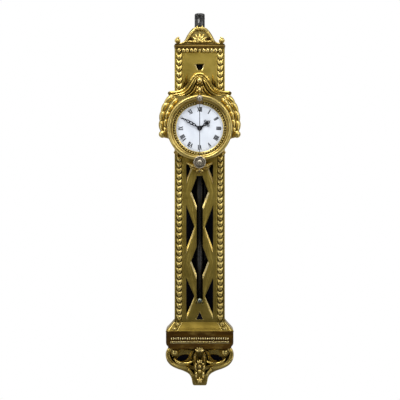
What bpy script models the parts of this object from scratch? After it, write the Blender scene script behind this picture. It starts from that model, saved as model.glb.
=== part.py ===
"""Pierced giltwood wall clock with a front pendulum, driven by a falling weight rod.

The wall plane is y = 0 and the front faces -Y. The centre plane is x = 0, and z = 0 is at the
dial's centre. Every number below is in millimetres; the mesh builders turn them into metres.
"""

import math

import bmesh
import bpy
from mathutils import Matrix, Vector

MM = 0.001
GAP = 0.3  # between two pieces of the case that touch

# Case, as depths from the wall and heights from the dial's centre
BOARD_THICK = 10.0
SIDE_OUT = 74.0
SIDE_THICK = 8.0
PANEL_BACK = -48.0
PANEL_FRONT = -60.0
PANEL_HALF = 75.5
PANEL_TOP = 244.3
PANEL_FOOT = -576.0
FLARE_TOP = -568.5
PLINTH_TOP = PANEL_FOOT - GAP
PLINTH_NECK = -604.5
PLINTH_HALF = 101.5
PLINTH_LEDGE = -643.5
PLINTH_FOOT = -655.5
PLINTH_FRONT = -80.0

# Pierced ribbon panel
PERIOD = 208.5
DIAMOND_Z = -186.6
DIAMOND_HALF = 25.0
DIAMOND_REACH = 42.0
SLOT_HALF = 9.0
SLOT_TOP = -140.0
SLOT_FOOT = -508.0
TRIANGLE_OUT = 40.0
TRIANGLE_IN = 16.0
TRIANGLE_REACH = 63.0

# Weight rod: an iron tube with a rack, falling 0.36 m
ROD_Y = -30.0
ROD_R = 14.0
ROD_TOP = 349.0
ROD_FOOT = -522.0
ROD_FALL = 360.0
KNOB_Z = -512.0
KNOB_R = 8.1
RACK_MODULE = 1.8
RACK_LEAVES = 10
RACK_LINE = 18.5
RACK_TEETH = 70

# Train: arbors as (x, z)
CENTRE = (0.0, 0.0)
GREAT = (27.5, -20.33)
THIRD = (-7.24, 31.17)
ESCAPE = (0.0, 61.6)
PALLET = (0.0, 85.1)
MINUTE_STUD = (-13.58, -13.58)
GREAT_TEETH, CENTRE_LEAVES = 40, 8
CENTRE_TEETH, THIRD_LEAVES = 54, 6
THIRD_TEETH, ESCAPE_LEAVES = 63, 6
ESCAPE_TEETH = 44
CANNON_TEETH, MINUTE_TEETH = 12, 36
MINUTE_LEAVES, HOUR_TEETH = 10, 40
WHEEL_TOOTH = (0.8, 1.1, 0.18, 0.56)
LEAF_TOOTH = (0.75, 1.1, 0.18, 0.34)

# Movement depths
BACK_PLATE = (-45.2, -47.7)
FRONT_PLATE = (-88.0, -90.5)
DIAL_BACK = -98.0
SKIRT_BACK = -72.3
HEAD_OPENING = 66.5

# Pendulum and hands
BOB_Z = -101.9
BOB_R = 18.0
PENDULUM_Y = -136.0
MINUTE_ANGLE = math.radians(301.0)
HOUR_ANGLE = math.radians(55.0)

FINISHES = {
    "gilt": ((0.62, 0.43, 0.13, 1), 0.9, 0.38),
    "dark_gilt": ((0.42, 0.28, 0.08, 1), 0.85, 0.45),
    "bole": ((0.16, 0.05, 0.03, 1), 0.1, 0.5),
    "oak": ((0.20, 0.12, 0.06, 1), 0.0, 0.7),
    "iron": ((0.05, 0.06, 0.055, 1), 0.8, 0.45),
    "steel": ((0.42, 0.42, 0.43, 1), 1.0, 0.3),
    "brass": ((0.72, 0.52, 0.20, 1), 1.0, 0.28),
    "enamel": ((0.86, 0.88, 0.90, 1), 0.0, 0.2),
    "pewter": ((0.55, 0.53, 0.49, 1), 0.9, 0.35),
    "black": ((0.02, 0.02, 0.022, 1), 0.5, 0.35),
}


# --- Scene and mesh builders -------------------------------------------------------------

def clear_scene():
    for obj in list(bpy.data.objects):
        bpy.data.objects.remove(obj, do_unlink=True)


def new_collection(name):
    collection = bpy.data.collections.new(name)
    bpy.context.scene.collection.children.link(collection)
    return collection


def give_finish(obj, finish):
    colour, metallic, roughness = FINISHES[finish]
    material = bpy.data.materials.new(obj.name + "_" + finish)
    material.use_nodes = True
    shader = material.node_tree.nodes["Principled BSDF"]
    shader.inputs["Base Color"].default_value = colour
    shader.inputs["Metallic"].default_value = metallic
    shader.inputs["Roughness"].default_value = roughness
    obj.data.materials.clear()
    obj.data.materials.append(material)


def add_part(name, mesh, finish, smooth=0.0):
    """Links a mesh as a sub-part. A smooth angle above 0 shades it smooth below that angle."""
    obj = bpy.data.objects.new(name, mesh)
    PARTS.objects.link(obj)
    if finish:
        give_finish(obj, finish)
    if smooth:
        mesh.shade_smooth()
        mesh.set_sharp_from_angle(angle=math.radians(smooth))
    return obj


def mesh_of(name, points, faces):
    """A closed mesh from points in millimetres, with its faces turned outwards."""
    mesh = bpy.data.meshes.new(name)
    mesh.from_pydata([Vector(point) * MM for point in points], [], faces)
    bm = bmesh.new()
    bm.from_mesh(mesh)
    bmesh.ops.remove_doubles(bm, verts=bm.verts, dist=1e-6)
    bmesh.ops.recalc_face_normals(bm, faces=bm.faces)
    bm.to_mesh(mesh)
    bm.free()
    return mesh


def flat_mesh(name, loops, low, high, axis):
    """A flat outline with its holes, given thickness from low to high along one axis.

    A loop is a list of (x, z) for axis Y, (y, z) for axis X and (x, y) for axis Z.
    """
    curve = bpy.data.curves.new(name, "CURVE")
    curve.dimensions = "2D"
    curve.fill_mode = "BOTH"
    curve.extrude = abs(high - low) / 2 * MM
    for loop in loops:
        spline = curve.splines.new("POLY")
        spline.points.add(len(loop) - 1)
        for point, (u, v) in zip(spline.points, loop):
            point.co = (u * MM, v * MM, 0, 1)
        spline.use_cyclic_u = True
    holder = bpy.data.objects.new(name + "_outline", curve)
    PARTS.objects.link(holder)
    graph = bpy.context.evaluated_depsgraph_get()
    mesh = bpy.data.meshes.new_from_object(holder.evaluated_get(graph))
    bpy.data.objects.remove(holder, do_unlink=True)
    turn = {
        "X": Matrix(((0, 0, 1), (1, 0, 0), (0, 1, 0))),
        "Y": Matrix(((1, 0, 0), (0, 0, -1), (0, 1, 0))),
        "Z": Matrix.Identity(3),
    }[axis].to_4x4()
    middle = [0, 0, 0]
    middle["XYZ".index(axis)] = (low + high) / 2 * MM
    bm = bmesh.new()
    bm.from_mesh(mesh)
    bmesh.ops.remove_doubles(bm, verts=bm.verts, dist=1e-6)
    bmesh.ops.transform(bm, matrix=Matrix.Translation(middle) @ turn, verts=bm.verts)
    bmesh.ops.recalc_face_normals(bm, faces=bm.faces)
    bm.to_mesh(mesh)
    bm.free()
    mesh.name = name
    return mesh


def prism_mesh(name, loop, low, high, axis):
    """A flat outline with no holes, given thickness: two many-sided ends and a wall of quads."""
    points = []
    for place in (low, high):
        for u, v in loop:
            points.append({"X": (place, u, v), "Y": (u, place, v), "Z": (u, v, place)}[axis])
    count = len(loop)
    faces = [tuple(range(count)), tuple(range(count, 2 * count))]
    for k in range(count):
        after = (k + 1) % count
        faces.append((k, after, count + after, count + k))
    return mesh_of(name, points, faces)


def plate(name, loops, near, far, finish, axis="Y", smooth=0.0):
    if len(loops) == 1:
        mesh = prism_mesh(name, loops[0], near, far, axis)
    else:
        mesh = flat_mesh(name, loops, near, far, axis)
    return add_part(name, mesh, finish, smooth)


def block(name, low, high, finish):
    x0, y0, z0 = low
    x1, y1, z1 = high
    return plate(name, [[(x0, y0), (x1, y0), (x1, y1), (x0, y1)]], z0, z1, finish, "Z")


def ring_mesh(name, rings, sides, centre, axis, closed):
    """A turned or toothed shape: rings of equal point count along an axis.

    A ring is (place on the axis, radius) or (place on the axis, list of (angle, radius)).
    A closed shape returns from its last ring to its first; an open one has two flat ends.
    """
    points = []
    for place, shape in rings:
        if not isinstance(shape, list):
            shape = [(2 * math.pi * k / sides, shape) for k in range(sides)]
        for angle, radius in shape:
            u = centre[0] + radius * math.cos(angle)
            v = centre[1] + radius * math.sin(angle)
            points.append((u, place, v) if axis == "Y" else (u, v, place))
    faces = []
    last = len(rings) if closed else len(rings) - 1
    for ring in range(last):
        here = ring * sides
        there = (ring + 1) % len(rings) * sides
        for k in range(sides):
            after = (k + 1) % sides
            faces.append((here + k, here + after, there + after, there + k))
    if not closed:
        faces.append(tuple(range(sides)))
        faces.append(tuple(range(len(points) - sides, len(points))))
    return mesh_of(name, points, faces)


def turned(name, rings, centre, finish, sides=24, axis="Y", closed=False, smooth=35.0):
    mesh = ring_mesh(name, rings, sides, centre, axis, closed)
    return add_part(name, mesh, finish, smooth)


def combine(obj, other, operation):
    """Joins or cuts one mesh with another, which then goes to the cutters."""
    PARTS.objects.unlink(other)
    CUTTERS.objects.link(other)
    other.hide_render = True
    other.display_type = "WIRE"
    step = obj.modifiers.new(operation.lower() + "_" + other.name, "BOOLEAN")
    step.operation = operation
    step.solver = "EXACT"
    step.object = other


# --- Outlines ----------------------------------------------------------------------------

def circle(radius, sides, centre=(0.0, 0.0), start=0.0):
    angles = [start + 2 * math.pi * k / sides for k in range(sides)]
    return [(centre[0] + radius * math.cos(a), centre[1] + radius * math.sin(a)) for a in angles]


def bore(radius, centre, sides=10):
    """A hole whose flats clear a shaft of this radius by 0.12 mm."""
    return circle((radius + 0.12) / math.cos(math.pi / sides), sides, centre)


def mirrored(right):
    """A closed outline from its right half, listed from top to bottom."""
    left = [(-x, z) for x, z in reversed(right) if x > 0.001]
    return right + left


def moved(loop, dx=0.0, dz=0.0, turn=0.0):
    cos, sin = math.cos(turn), math.sin(turn)
    return [(dx + x * cos - z * sin, dz + x * sin + z * cos) for x, z in loop]


def flipped(loop):
    return [(-x, z) for x, z in reversed(loop)]


def toothed(teeth, module, form, phase):
    """Teeth as (angle, radius), four points to a tooth; phase is the angle of one tooth."""
    addendum, dedendum, tip, root = form
    middle = teeth * module / 2
    outline = []
    for k in range(teeth):
        at = phase + 2 * math.pi * k / teeth
        low = middle - dedendum * module
        high = middle + addendum * module
        root_turn = root * math.pi * module / 2 / low
        tip_turn = tip * math.pi * module / 2 / high
        outline += [(at - root_turn, low), (at - tip_turn, high)]
        outline += [(at + tip_turn, high), (at + root_turn, low)]
    return outline


def placed(outline, centre):
    return [(centre[0] + r * math.cos(a), centre[1] + r * math.sin(a)) for a, r in outline]


def distance(a, b):
    return math.hypot(b[0] - a[0], b[1] - a[1])


def meshing_phase(phase, teeth, here, other_teeth, there):
    """The phase that puts a gap of the second wheel where a tooth of the first reaches it."""
    line = math.atan2(there[1] - here[1], there[0] - here[0])
    return line + math.pi - (phase - line) * teeth / other_teeth + math.pi / other_teeth


def spoke_windows(centre, inner, outer, count):
    """Openings that leave a wheel with straight crossings."""
    windows = []
    for k in range(count):
        middle = 2 * math.pi * (k + 0.5) / count
        half = math.pi / count
        near = half - 3.2 / inner
        far = half - 2.4 / outer
        window = []
        for radius, angle in ((inner, -near), (outer, -far), (outer, 0), (outer, far), (inner, near)):
            at = middle + angle
            window.append((centre[0] + radius * math.cos(at), centre[1] + radius * math.sin(at)))
        windows.append(window)
    return windows


def head_opening(radius, sides):
    """The round opening behind the head, with its slot for the pallet arbor."""
    half, top = 20.0, 93.0
    start = math.asin(half / radius)
    arc = []
    for k in range(sides + 1):
        at = start + (2 * math.pi - 2 * start) * k / sides
        arc.append((radius * math.sin(at), radius * math.cos(at)))
    return [(-half, top), (half, top)] + arc


def rod_hole():
    """A round hole for the tube, with a notch on its right for the rack."""
    radius = ROD_R + 0.75
    start = math.asin(4.2 / radius)
    loop = []
    for k in range(29):
        at = start + (2 * math.pi - 2 * start) * k / 28
        loop.append((radius * math.cos(at), ROD_Y + radius * math.sin(at)))
    return loop + [(21.0, ROD_Y - 4.2), (21.0, ROD_Y + 4.2)]


# --- Case --------------------------------------------------------------------------------

def slot_loop():
    """The long slot, with two diamonds on it and a round foot."""
    right = [(SLOT_HALF, SLOT_TOP)]
    for k in range(2):
        middle = DIAMOND_Z - k * PERIOD
        right.append((SLOT_HALF, middle + DIAMOND_REACH))
        right.append((DIAMOND_HALF, middle))
        right.append((SLOT_HALF, middle - DIAMOND_REACH))
    for k in range(7):
        at = math.pi / 2 * k / 6
        right.append((SLOT_HALF * math.cos(at), SLOT_FOOT - SLOT_HALF * math.sin(at)))
    return mirrored(right)


def triangle_loops():
    loops = [[(23.6, -106.0), (TRIANGLE_OUT, -106.0), (TRIANGLE_OUT, -149.0)]]
    for k, reach in ((1, TRIANGLE_REACH), (2, 54.0)):
        middle = -85.0 - k * PERIOD
        loop = [(TRIANGLE_IN, middle), (TRIANGLE_OUT, middle + reach), (TRIANGLE_OUT, middle - reach)]
        loops.append(loop)
    return loops + [flipped(loop) for loop in loops]


def build_case():
    front = mirrored([
        (0, PANEL_TOP), (PANEL_HALF, PANEL_TOP), (PANEL_HALF, FLARE_TOP), (77.4, PANEL_FOOT),
    ])
    top_hole = mirrored([(14.0, 196.5), (7.5, 178.5)])
    foot_hole = mirrored([(0, -547.0), (10.5, -570.0)])
    openings = [slot_loop(), top_hole, foot_hole] + triangle_loops()
    openings.append(head_opening(HEAD_OPENING, 40))
    plate("front_panel", [front] + openings, PANEL_FRONT, PANEL_BACK, "gilt")

    window = [(-9, 188), (9, 188), (9, 222), (-9, 222)]
    board = [(-SIDE_OUT, PANEL_FOOT), (SIDE_OUT, PANEL_FOOT), (SIDE_OUT, PANEL_TOP), (-SIDE_OUT, PANEL_TOP)]
    back = plate("back_board", [board, window], -BOARD_THICK, 0.0, "oak")
    combine(back, block("plate_recess", (-24, -3.0, 178), (24, 5, 232), None), "DIFFERENCE")
    keyhole = circle(2.6, 8, (0, 212), 0.0)[0:5] + circle(5.0, 12, (0, 198), math.radians(120))[0:11]
    strap = [(-23.5, 178.5), (23.5, 178.5), (23.5, 231.5), (-23.5, 231.5)]
    plate("hanging_plate", [strap, keyhole], -2.7, -0.3, "iron")
    inner = SIDE_OUT - SIDE_THICK
    for name, low, high in (("side_left", -SIDE_OUT, -inner), ("side_right", inner, SIDE_OUT)):
        block(name, (low, PANEL_BACK + GAP, PANEL_FOOT), (high, -BOARD_THICK - GAP, PANEL_TOP), "gilt")

    lid = [(-77.0, -68.0), (77.0, -68.0), (77.0, -1.0), (-77.0, -1.0)]
    plate("cornice", [lid, rod_hole()], PANEL_TOP + 0.2, 256.5, "bole", "Z")
    shelf = [(-65.7, -47.7), (65.7, -47.7), (65.7, -10.3), (-65.7, -10.3)]
    plate("upper_guide", [shelf, rod_hole()], 205.0, 217.0, "oak", "Z")
    plate("lower_guide", [shelf, rod_hole()], -100.0, -89.0, "oak", "Z")
    block("stop_block", (-15, -47.7, PANEL_FOOT), (15, -10.3, ROD_FOOT - GAP), "oak")

    crest = [(0, 312), (10, 311.5), (17, 309), (24, 304), (31, 298), (36, 292), (39, 286), (43, 281)]
    crest += [(51, 277.5), (58, 277), (66, 279.5), (73, 275.5), (76, 268.5), (73, 262), (66, 259)]
    crest += [(60, 256.8)]
    plate("crest", [mirrored(crest)], -62.0, -46.0, "gilt")
    build_plinth()
    build_bracket()
    build_trim()


def build_plinth():
    levels = [
        (PLINTH_TOP, 77.6, -60.5), (-584, 80.5, -63), (-592, 86, -67.5), (-599, 94, -74),
        (PLINTH_NECK, PLINTH_HALF, PLINTH_FRONT), (PLINTH_LEDGE, PLINTH_HALF, PLINTH_FRONT),
        (PLINTH_LEDGE - 0.5, 95.0, -75.0), (PLINTH_FOOT, 95.0, -75.0),
    ]
    points = []
    for z, half, front in levels:
        points += [(-half, front, z), (half, front, z), (half, 0, z), (-half, 0, z)]
    faces = [(0, 1, 2, 3), tuple(len(points) - 4 + k for k in range(4))]
    for level in range(len(levels) - 1):
        for k in range(4):
            low, high = level * 4, level * 4 + 4
            faces.append((low + k, low + (k + 1) % 4, high + (k + 1) % 4, high + k))
    add_part("plinth", mesh_of("plinth", points, faces), "bole")
    leaves = 20
    band = [(-90.0, -613.0), (90.0, -613.0)]
    for k in range(leaves):
        band.append((90.0 - 180.0 * (k + 0.5) / leaves, -640.5))
        if k < leaves - 1:
            band.append((90.0 - 180.0 * (k + 1) / leaves, -631.0))
    plate("plinth_band", [band], -84.0, PLINTH_FRONT - 0.2, "dark_gilt")


def build_bracket():
    right = [(88, PLINTH_FOOT - 0.2), (93, -661), (95, -668), (97.5, -677), (97.5, -688)]
    right += [(92, -700), (79, -712), (62, -718), (48, -725), (29, -736.5), (22.5, -748), (21, -757)]
    right += [(19.5, -765), (14.5, -769.5), (0, -770)]
    bracket = plate("bracket", [mirrored(right)], -52.0, -2.0, "dark_gilt")
    pocket = [(32, -676), (44, -673.5), (57, -675), (68, -684), (58, -690), (40, -691.5)]
    for name, loop in (("pocket_right", pocket), ("pocket_left", flipped(pocket))):
        combine(bracket, plate(name, [loop], -60.0, -14.0, None), "DIFFERENCE")
    drop = [(0, -661), (9, -664), (11, -676), (17, -690), (27, -702), (29, -716), (22, -728)]
    drop += [(17, -740), (15, -752), (8, -760), (0, -765)]
    plate("bracket_drop", [mirrored(drop)], -66.0, -52.2, "gilt")


def husk_strip(name, side, top, count):
    """A chain of bell-shaped husks beside the panel's edge."""
    pitch = 17.6
    right = []
    for k in range(count):
        z = top - k * pitch
        right += [(4.2, z - 1.0), (8.0, z - 0.68 * pitch)]
    right.append((3.0, top - count * pitch))
    loop = moved(mirrored(right), side * 61.5)
    plate(name, [loop], PANEL_FRONT - 6.0, PANEL_FRONT - 0.2, "gilt")


def build_trim():
    for name, side in (("left", -1), ("right", 1)):
        husk_strip("husk_upper_" + name, side, 228.0, 4)
        husk_strip("husk_lower_" + name, side, -84.0, 27)
    leaves = 15
    band = [(-67.0, 244.0), (67.0, 244.0)]
    for k in range(leaves):
        band.append((67.0 - 134.0 * (k + 0.5) / leaves, 229.8))
        if k < leaves - 1:
            band.append((67.0 - 134.0 * (k + 1) / leaves, 236.0))
    plate("top_leaf_band", [band], PANEL_FRONT - 6.0, PANEL_FRONT - 0.2, "gilt")

    arch = [(0, 171), (12, 168), (21, 160.5), (28, 151), (33, 141.5), (39, 131.5), (47, 122)]
    arch += [(58, 114.5), (72, 110.5), (93, 109), (90, 101.5), (66, 101.5)]
    arch += [(54, 104.5), (44, 109.5), (36, 116), (29.5, 124.5), (24.5, 134), (18, 144.5)]
    arch += [(10, 151), (0, 153)]
    loop = arch + [(-x, z) for x, z in reversed(arch[1:-1])]
    plate("drapery_arch", [loop], -72.0, PANEL_FRONT - 0.2, "gilt")
    shell = [(0, 147), (7, 145), (12, 139), (14, 131), (10, 122), (4, 117), (0, 116)]
    plate("shell_knot", [mirrored(shell)], -80.0, PANEL_FRONT - 0.2, "gilt")

    board = [(58, 100), (84, 100), (92, 88), (97, 74), (104, 60), (110, 48), (114, 36), (117, 24)]
    board += [(119, 10), (119, 0), (116, -12), (110, -24), (96, -27), (88, -32), (80, -46)]
    board += [(65, -65), (46, -79.7), (24, -88.8), (0, -92)]
    plate("head_board", [mirrored(board), head_opening(HEAD_OPENING, 40)],
          -72.0, PANEL_FRONT - 0.2, "dark_gilt")
    swag = [(86, 101), (94, 90), (99, 76), (106, 62), (113, 50), (117, 38), (120, 26), (121.5, 14)]
    swag += [(123, 2), (121, -10), (116, -22), (109, -31), (101, -30), (95, -24), (92, -12), (91, 2)]
    swag += [(91, 14), (91, 26), (89, 38), (85, 50), (80, 62), (73, 74), (66, 88), (72, 98)]
    plate("swag_right", [swag], -92.0, SKIRT_BACK, "gilt")
    plate("swag_left", [flipped(swag)], -92.0, SKIRT_BACK, "gilt")
    bow = [(0, -98), (20, -97.5), (35, -98), (42, -104), (34, -111), (20, -114), (11, -118)]
    bow += [(20, -123), (19, -132), (9, -136.5), (0, -133)]
    plate("bow_ornament", [mirrored(bow)], -90.0, PANEL_FRONT - 0.2, "gilt")

    profile = [(-101.0, 68.0), (-103.0, 70.0), (-104.5, 75.0), (-109.0, 80.0), (-116.0, 83.0)]
    profile += [(-123.0, 85.0), (-126.0, 89.0), (-125.0, 93.0), (-120.0, 96.0), (-106.0, 95.5)]
    profile += [(-99.0, 88.0), (SKIRT_BACK, 88.0), (SKIRT_BACK, 80.5), (-100.3, 80.5), (-100.3, 68.0)]
    bezel = turned("bezel", profile, CENTRE, "gilt", 44, closed=True)
    combine(bezel, block("bezel_notch", (-9, -140, 60), (9, -60, 91.5), None), "DIFFERENCE")
    build_pearl_ring()


def build_pearl_ring():
    """A round moulding in the bezel's cove, open at the top for the pallet arbor."""
    middle, height, thick, steps, sides = 75.6, -108.3, 2.2, 46, 6
    points = []
    for step in range(steps + 1):
        at = math.pi / 2 + math.radians(9) + math.radians(342) * step / steps
        for k in range(sides):
            turn = 2 * math.pi * k / sides
            radius = middle + thick * math.cos(turn)
            y = height + thick * math.sin(turn)
            points.append((radius * math.cos(at), y, radius * math.sin(at)))
    faces = [tuple(range(sides)), tuple(range(steps * sides, (steps + 1) * sides))]
    for step in range(steps):
        for k in range(sides):
            here, there, after = step * sides, (step + 1) * sides, (k + 1) % sides
            faces.append((here + k, here + after, there + after, there + k))
    add_part("pearl_ring", mesh_of("pearl_ring", points, faces), "gilt", 50.0)


# --- Weight rod --------------------------------------------------------------------------

def build_rod():
    rings = [(ROD_FOOT, ROD_R), (ROD_TOP, ROD_R)]
    turned("weight_tube", rings, (0, ROD_Y), "iron", 28, "Z")
    rings = [(ROD_TOP + 0.1, ROD_R), (ROD_TOP + 2.0, ROD_R), (ROD_TOP + 4.0, 11.0), (ROD_TOP + 5.0, 6.0)]
    turned("tube_cap", rings, (0, ROD_Y), "black", 28, "Z")
    pitch = math.pi * RACK_MODULE
    tip, root = 0.22 * pitch / 2, 0.58 * pitch / 2
    right = []
    for k in range(RACK_TEETH):
        z = GREAT[1] + (3.5 - k) * pitch
        right += [(RACK_LINE - 1.1 * RACK_MODULE, z + root), (RACK_LINE + 0.8 * RACK_MODULE, z + tip)]
        right += [(RACK_LINE + 0.8 * RACK_MODULE, z - tip), (RACK_LINE - 1.1 * RACK_MODULE, z - root)]
    edge = ROD_R + 0.15
    rack = [(edge, right[0][1] + 2)] + [(right[0][0], right[0][1] + 2)] + right
    rack += [(right[-1][0], right[-1][1] - 2), (edge, right[-1][1] - 2)]
    plate("rack", [rack], -33.0, -27.0, "steel")
    rings = [(-44.2, 3.0), (-59.0, 3.0), (-60.5, 4.5)]
    for k in range(1, 7):
        turn = math.pi * k / 7
        rings.append((-68.5 + KNOB_R * math.cos(turn), KNOB_R * math.sin(turn)))
    turned("ball_knob", rings, (0, KNOB_Z), "steel", 16)


# --- Movement ----------------------------------------------------------------------------

def build_plates():
    edge = [(54, 98), (64, 88), (64, -74), (54, -84)]
    holes = [bore(2.4, GREAT), bore(1.6, CENTRE), bore(1.0, THIRD), bore(1.0, ESCAPE), bore(1.0, PALLET)]
    back = plate("back_plate", [mirrored(edge)] + holes, BACK_PLATE[1], BACK_PLATE[0], "brass")
    for number, place in enumerate(((-50, -30), (4, -58), (57, 12), (-34, 52), (34, 52))):
        rings = [(BACK_PLATE[1] + 1, 3.0), (FRONT_PLATE[0] + 0.1, 3.0)]
        pillar = turned("pillar_%d" % number, rings, place, None, 10, smooth=0.0)
        combine(back, pillar, "UNION")

    half, radius = 7.5, 64.0
    start = math.asin(half / radius)
    outline = [(-half, 90.0), (half, 90.0)]
    for k in range(33):
        at = start + (2 * math.pi - 2 * start) * k / 32
        outline.append((radius * math.sin(at), radius * math.cos(at)))
    holes = [bore(1.8, GREAT), bore(2.0, CENTRE), bore(1.0, THIRD), bore(1.0, ESCAPE), bore(1.6, PALLET)]
    front = plate("front_plate", [outline] + holes, FRONT_PLATE[1], FRONT_PLATE[0], "brass")
    rings = [(FRONT_PLATE[1] + 1, 1.5), (-97.4, 1.5)]
    combine(front, turned("minute_post", rings, MINUTE_STUD, None, 10, smooth=0.0), "UNION")

    low, high = GREAT[1] - 20.0, GREAT[1] + 20.0
    outer = [(-45.0, low), (-45.0, low + 6), (-20.2, low + 6), (-20.2, high - 6)]
    outer += [(-45.0, high - 6), (-45.0, high), (-17.5, high), (-17.5, low)]
    cock = plate("rack_cock", [outer], GREAT[0] - 5.5, GREAT[0] + 5.5, "brass", "X")
    rings = [(-15.0, 2.25), (-23.0, 2.25)]
    combine(cock, turned("cock_pivot_hole", rings, GREAT, None, 12, smooth=0.0), "DIFFERENCE")


def arbor(name, centre, rings, leaves, module, phase, finish="steel"):
    """An arbor with its pinion cut in one piece. A ring's radius of None is the pinion."""
    outline = toothed(leaves, module, LEAF_TOOTH, phase)
    full = []
    for place, radius in rings:
        even = [(angle, radius) for angle, _ in outline]
        full.append((place, outline if radius is None else even))
    return turned(name, full, centre, finish, 4 * leaves)


def wheel(name, centre, teeth, module, phase, near, far, hole, spokes=None):
    loops = [placed(toothed(teeth, module, WHEEL_TOOTH, phase), centre), bore(hole, centre)]
    if spokes:
        loops += spoke_windows(centre, *spokes)
    return plate(name, loops, near, far, "brass")


def build_train():
    rack_form = (0.8, 1.1, 0.2, 0.42)
    leaves = toothed(RACK_LEAVES, RACK_MODULE, rack_form, math.pi)
    rings = [(-17.9, 2.0), (-22.0, 2.0), (-22.0, 3.2), (-24.0, 3.2), (-24.0, None), (-36.0, None)]
    rings += [(-36.0, 3.2), (-44.6, 3.2), (-44.6, 2.4), (-87.6, 2.4), (-87.6, 1.8), (-90.3, 1.8)]
    full = []
    for place, radius in rings:
        even = [(angle, radius) for angle, _ in leaves]
        full.append((place, leaves if radius is None else even))
    turned("great_arbor", full, GREAT, "steel", len(leaves))

    teeth = []
    for k in range(24):
        at = 2 * math.pi * k / 24 + math.radians(3)
        teeth += [(at, 12.4), (at + 2 * math.pi / 24 * 0.92, 14.0)]
    plate("ratchet_wheel", [placed(teeth, GREAT), bore(2.4, GREAT)], -61.5, -58.5, "steel")

    great_module = 2 * distance(GREAT, CENTRE) / (GREAT_TEETH + CENTRE_LEAVES)
    great = wheel("great_wheel", GREAT, GREAT_TEETH, great_module, 0.0, -57.0, -54.5, 2.4)
    post = (GREAT[0] - 9.0, GREAT[1] + 18.5)
    rings = [(-56.0, 1.5), (-61.4, 1.5)]
    combine(great, turned("click_post", rings, post, None, 10, smooth=0.0), "UNION")
    claw = [(-11.5, 16.6), (-12.0, 20.0), (-9.0, 22.0), (-5.5, 21.0), (7.5, 15.6), (6.2, 13.4), (-6.0, 16.4)]
    hole = bore(1.5, (-9.0, 18.5), 8)
    loops = [moved(claw, *GREAT), moved(hole, *GREAT)]
    plate("click", loops, -60.8, -58.6, "steel")
    leaf = [(19.5, 11.0), (21.5, 14.0), (13.0, 20.6), (3.0, 24.2), (-4.0, 25.0), (-4.0, 24.2)]
    leaf += [(2.6, 23.2), (12.0, 19.4), (17.5, 14.2)]
    plate("click_spring", [moved(leaf, *GREAT)], -60.4, -57.2, "steel")

    phase = meshing_phase(0.0, GREAT_TEETH, GREAT, CENTRE_LEAVES, CENTRE)
    rings = [(-45.4, 1.6), (-48.0, 1.6), (-48.0, 2.6), (-53.5, 2.6), (-53.5, None), (-60.0, None)]
    rings += [(-60.0, 2.0), (-109.0, 2.0)]
    arbor("centre_arbor", CENTRE, rings, CENTRE_LEAVES, great_module, phase)
    centre_module = 2 * distance(CENTRE, THIRD) / (CENTRE_TEETH + THIRD_LEAVES)
    wheel("centre_wheel", CENTRE, CENTRE_TEETH, centre_module, 0.0, -79.0, -77.0, 2.0, (8.0, 25.0, 4))

    phase = meshing_phase(0.0, CENTRE_TEETH, CENTRE, THIRD_LEAVES, THIRD)
    rings = [(-45.4, 1.0), (-48.0, 1.0), (-48.0, 1.5), (-74.0, 1.5), (-74.0, None), (-82.0, None)]
    rings += [(-82.0, 1.5), (-87.7, 1.5), (-87.7, 1.0), (-90.3, 1.0)]
    arbor("third_arbor", THIRD, rings, THIRD_LEAVES, centre_module, phase)
    third_module = 2 * distance(THIRD, ESCAPE) / (THIRD_TEETH + ESCAPE_LEAVES)
    wheel("third_wheel", THIRD, THIRD_TEETH, third_module, 0.0, -66.0, -64.0, 1.5, (7.0, 25.0, 4))

    phase = meshing_phase(0.0, THIRD_TEETH, THIRD, ESCAPE_LEAVES, ESCAPE)
    rings = [(-45.4, 1.0), (-48.0, 1.0), (-48.0, 1.4), (-61.0, 1.4), (-61.0, None), (-68.0, None)]
    rings += [(-68.0, 1.4), (-87.7, 1.4), (-87.7, 1.0), (-90.3, 1.0)]
    arbor("escape_arbor", ESCAPE, rings, ESCAPE_LEAVES, third_module, phase)
    teeth = []
    for k in range(ESCAPE_TEETH):
        at = 2 * math.pi * k / ESCAPE_TEETH
        teeth += [(at, 14.6), (at + 0.1 * 2 * math.pi / ESCAPE_TEETH, 17.0)]
    loops = [placed(teeth, ESCAPE), bore(1.4, ESCAPE)] + spoke_windows(ESCAPE, 5.0, 12.4, 4)
    plate("escape_wheel", loops, -71.0, -69.2, "brass")


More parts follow.
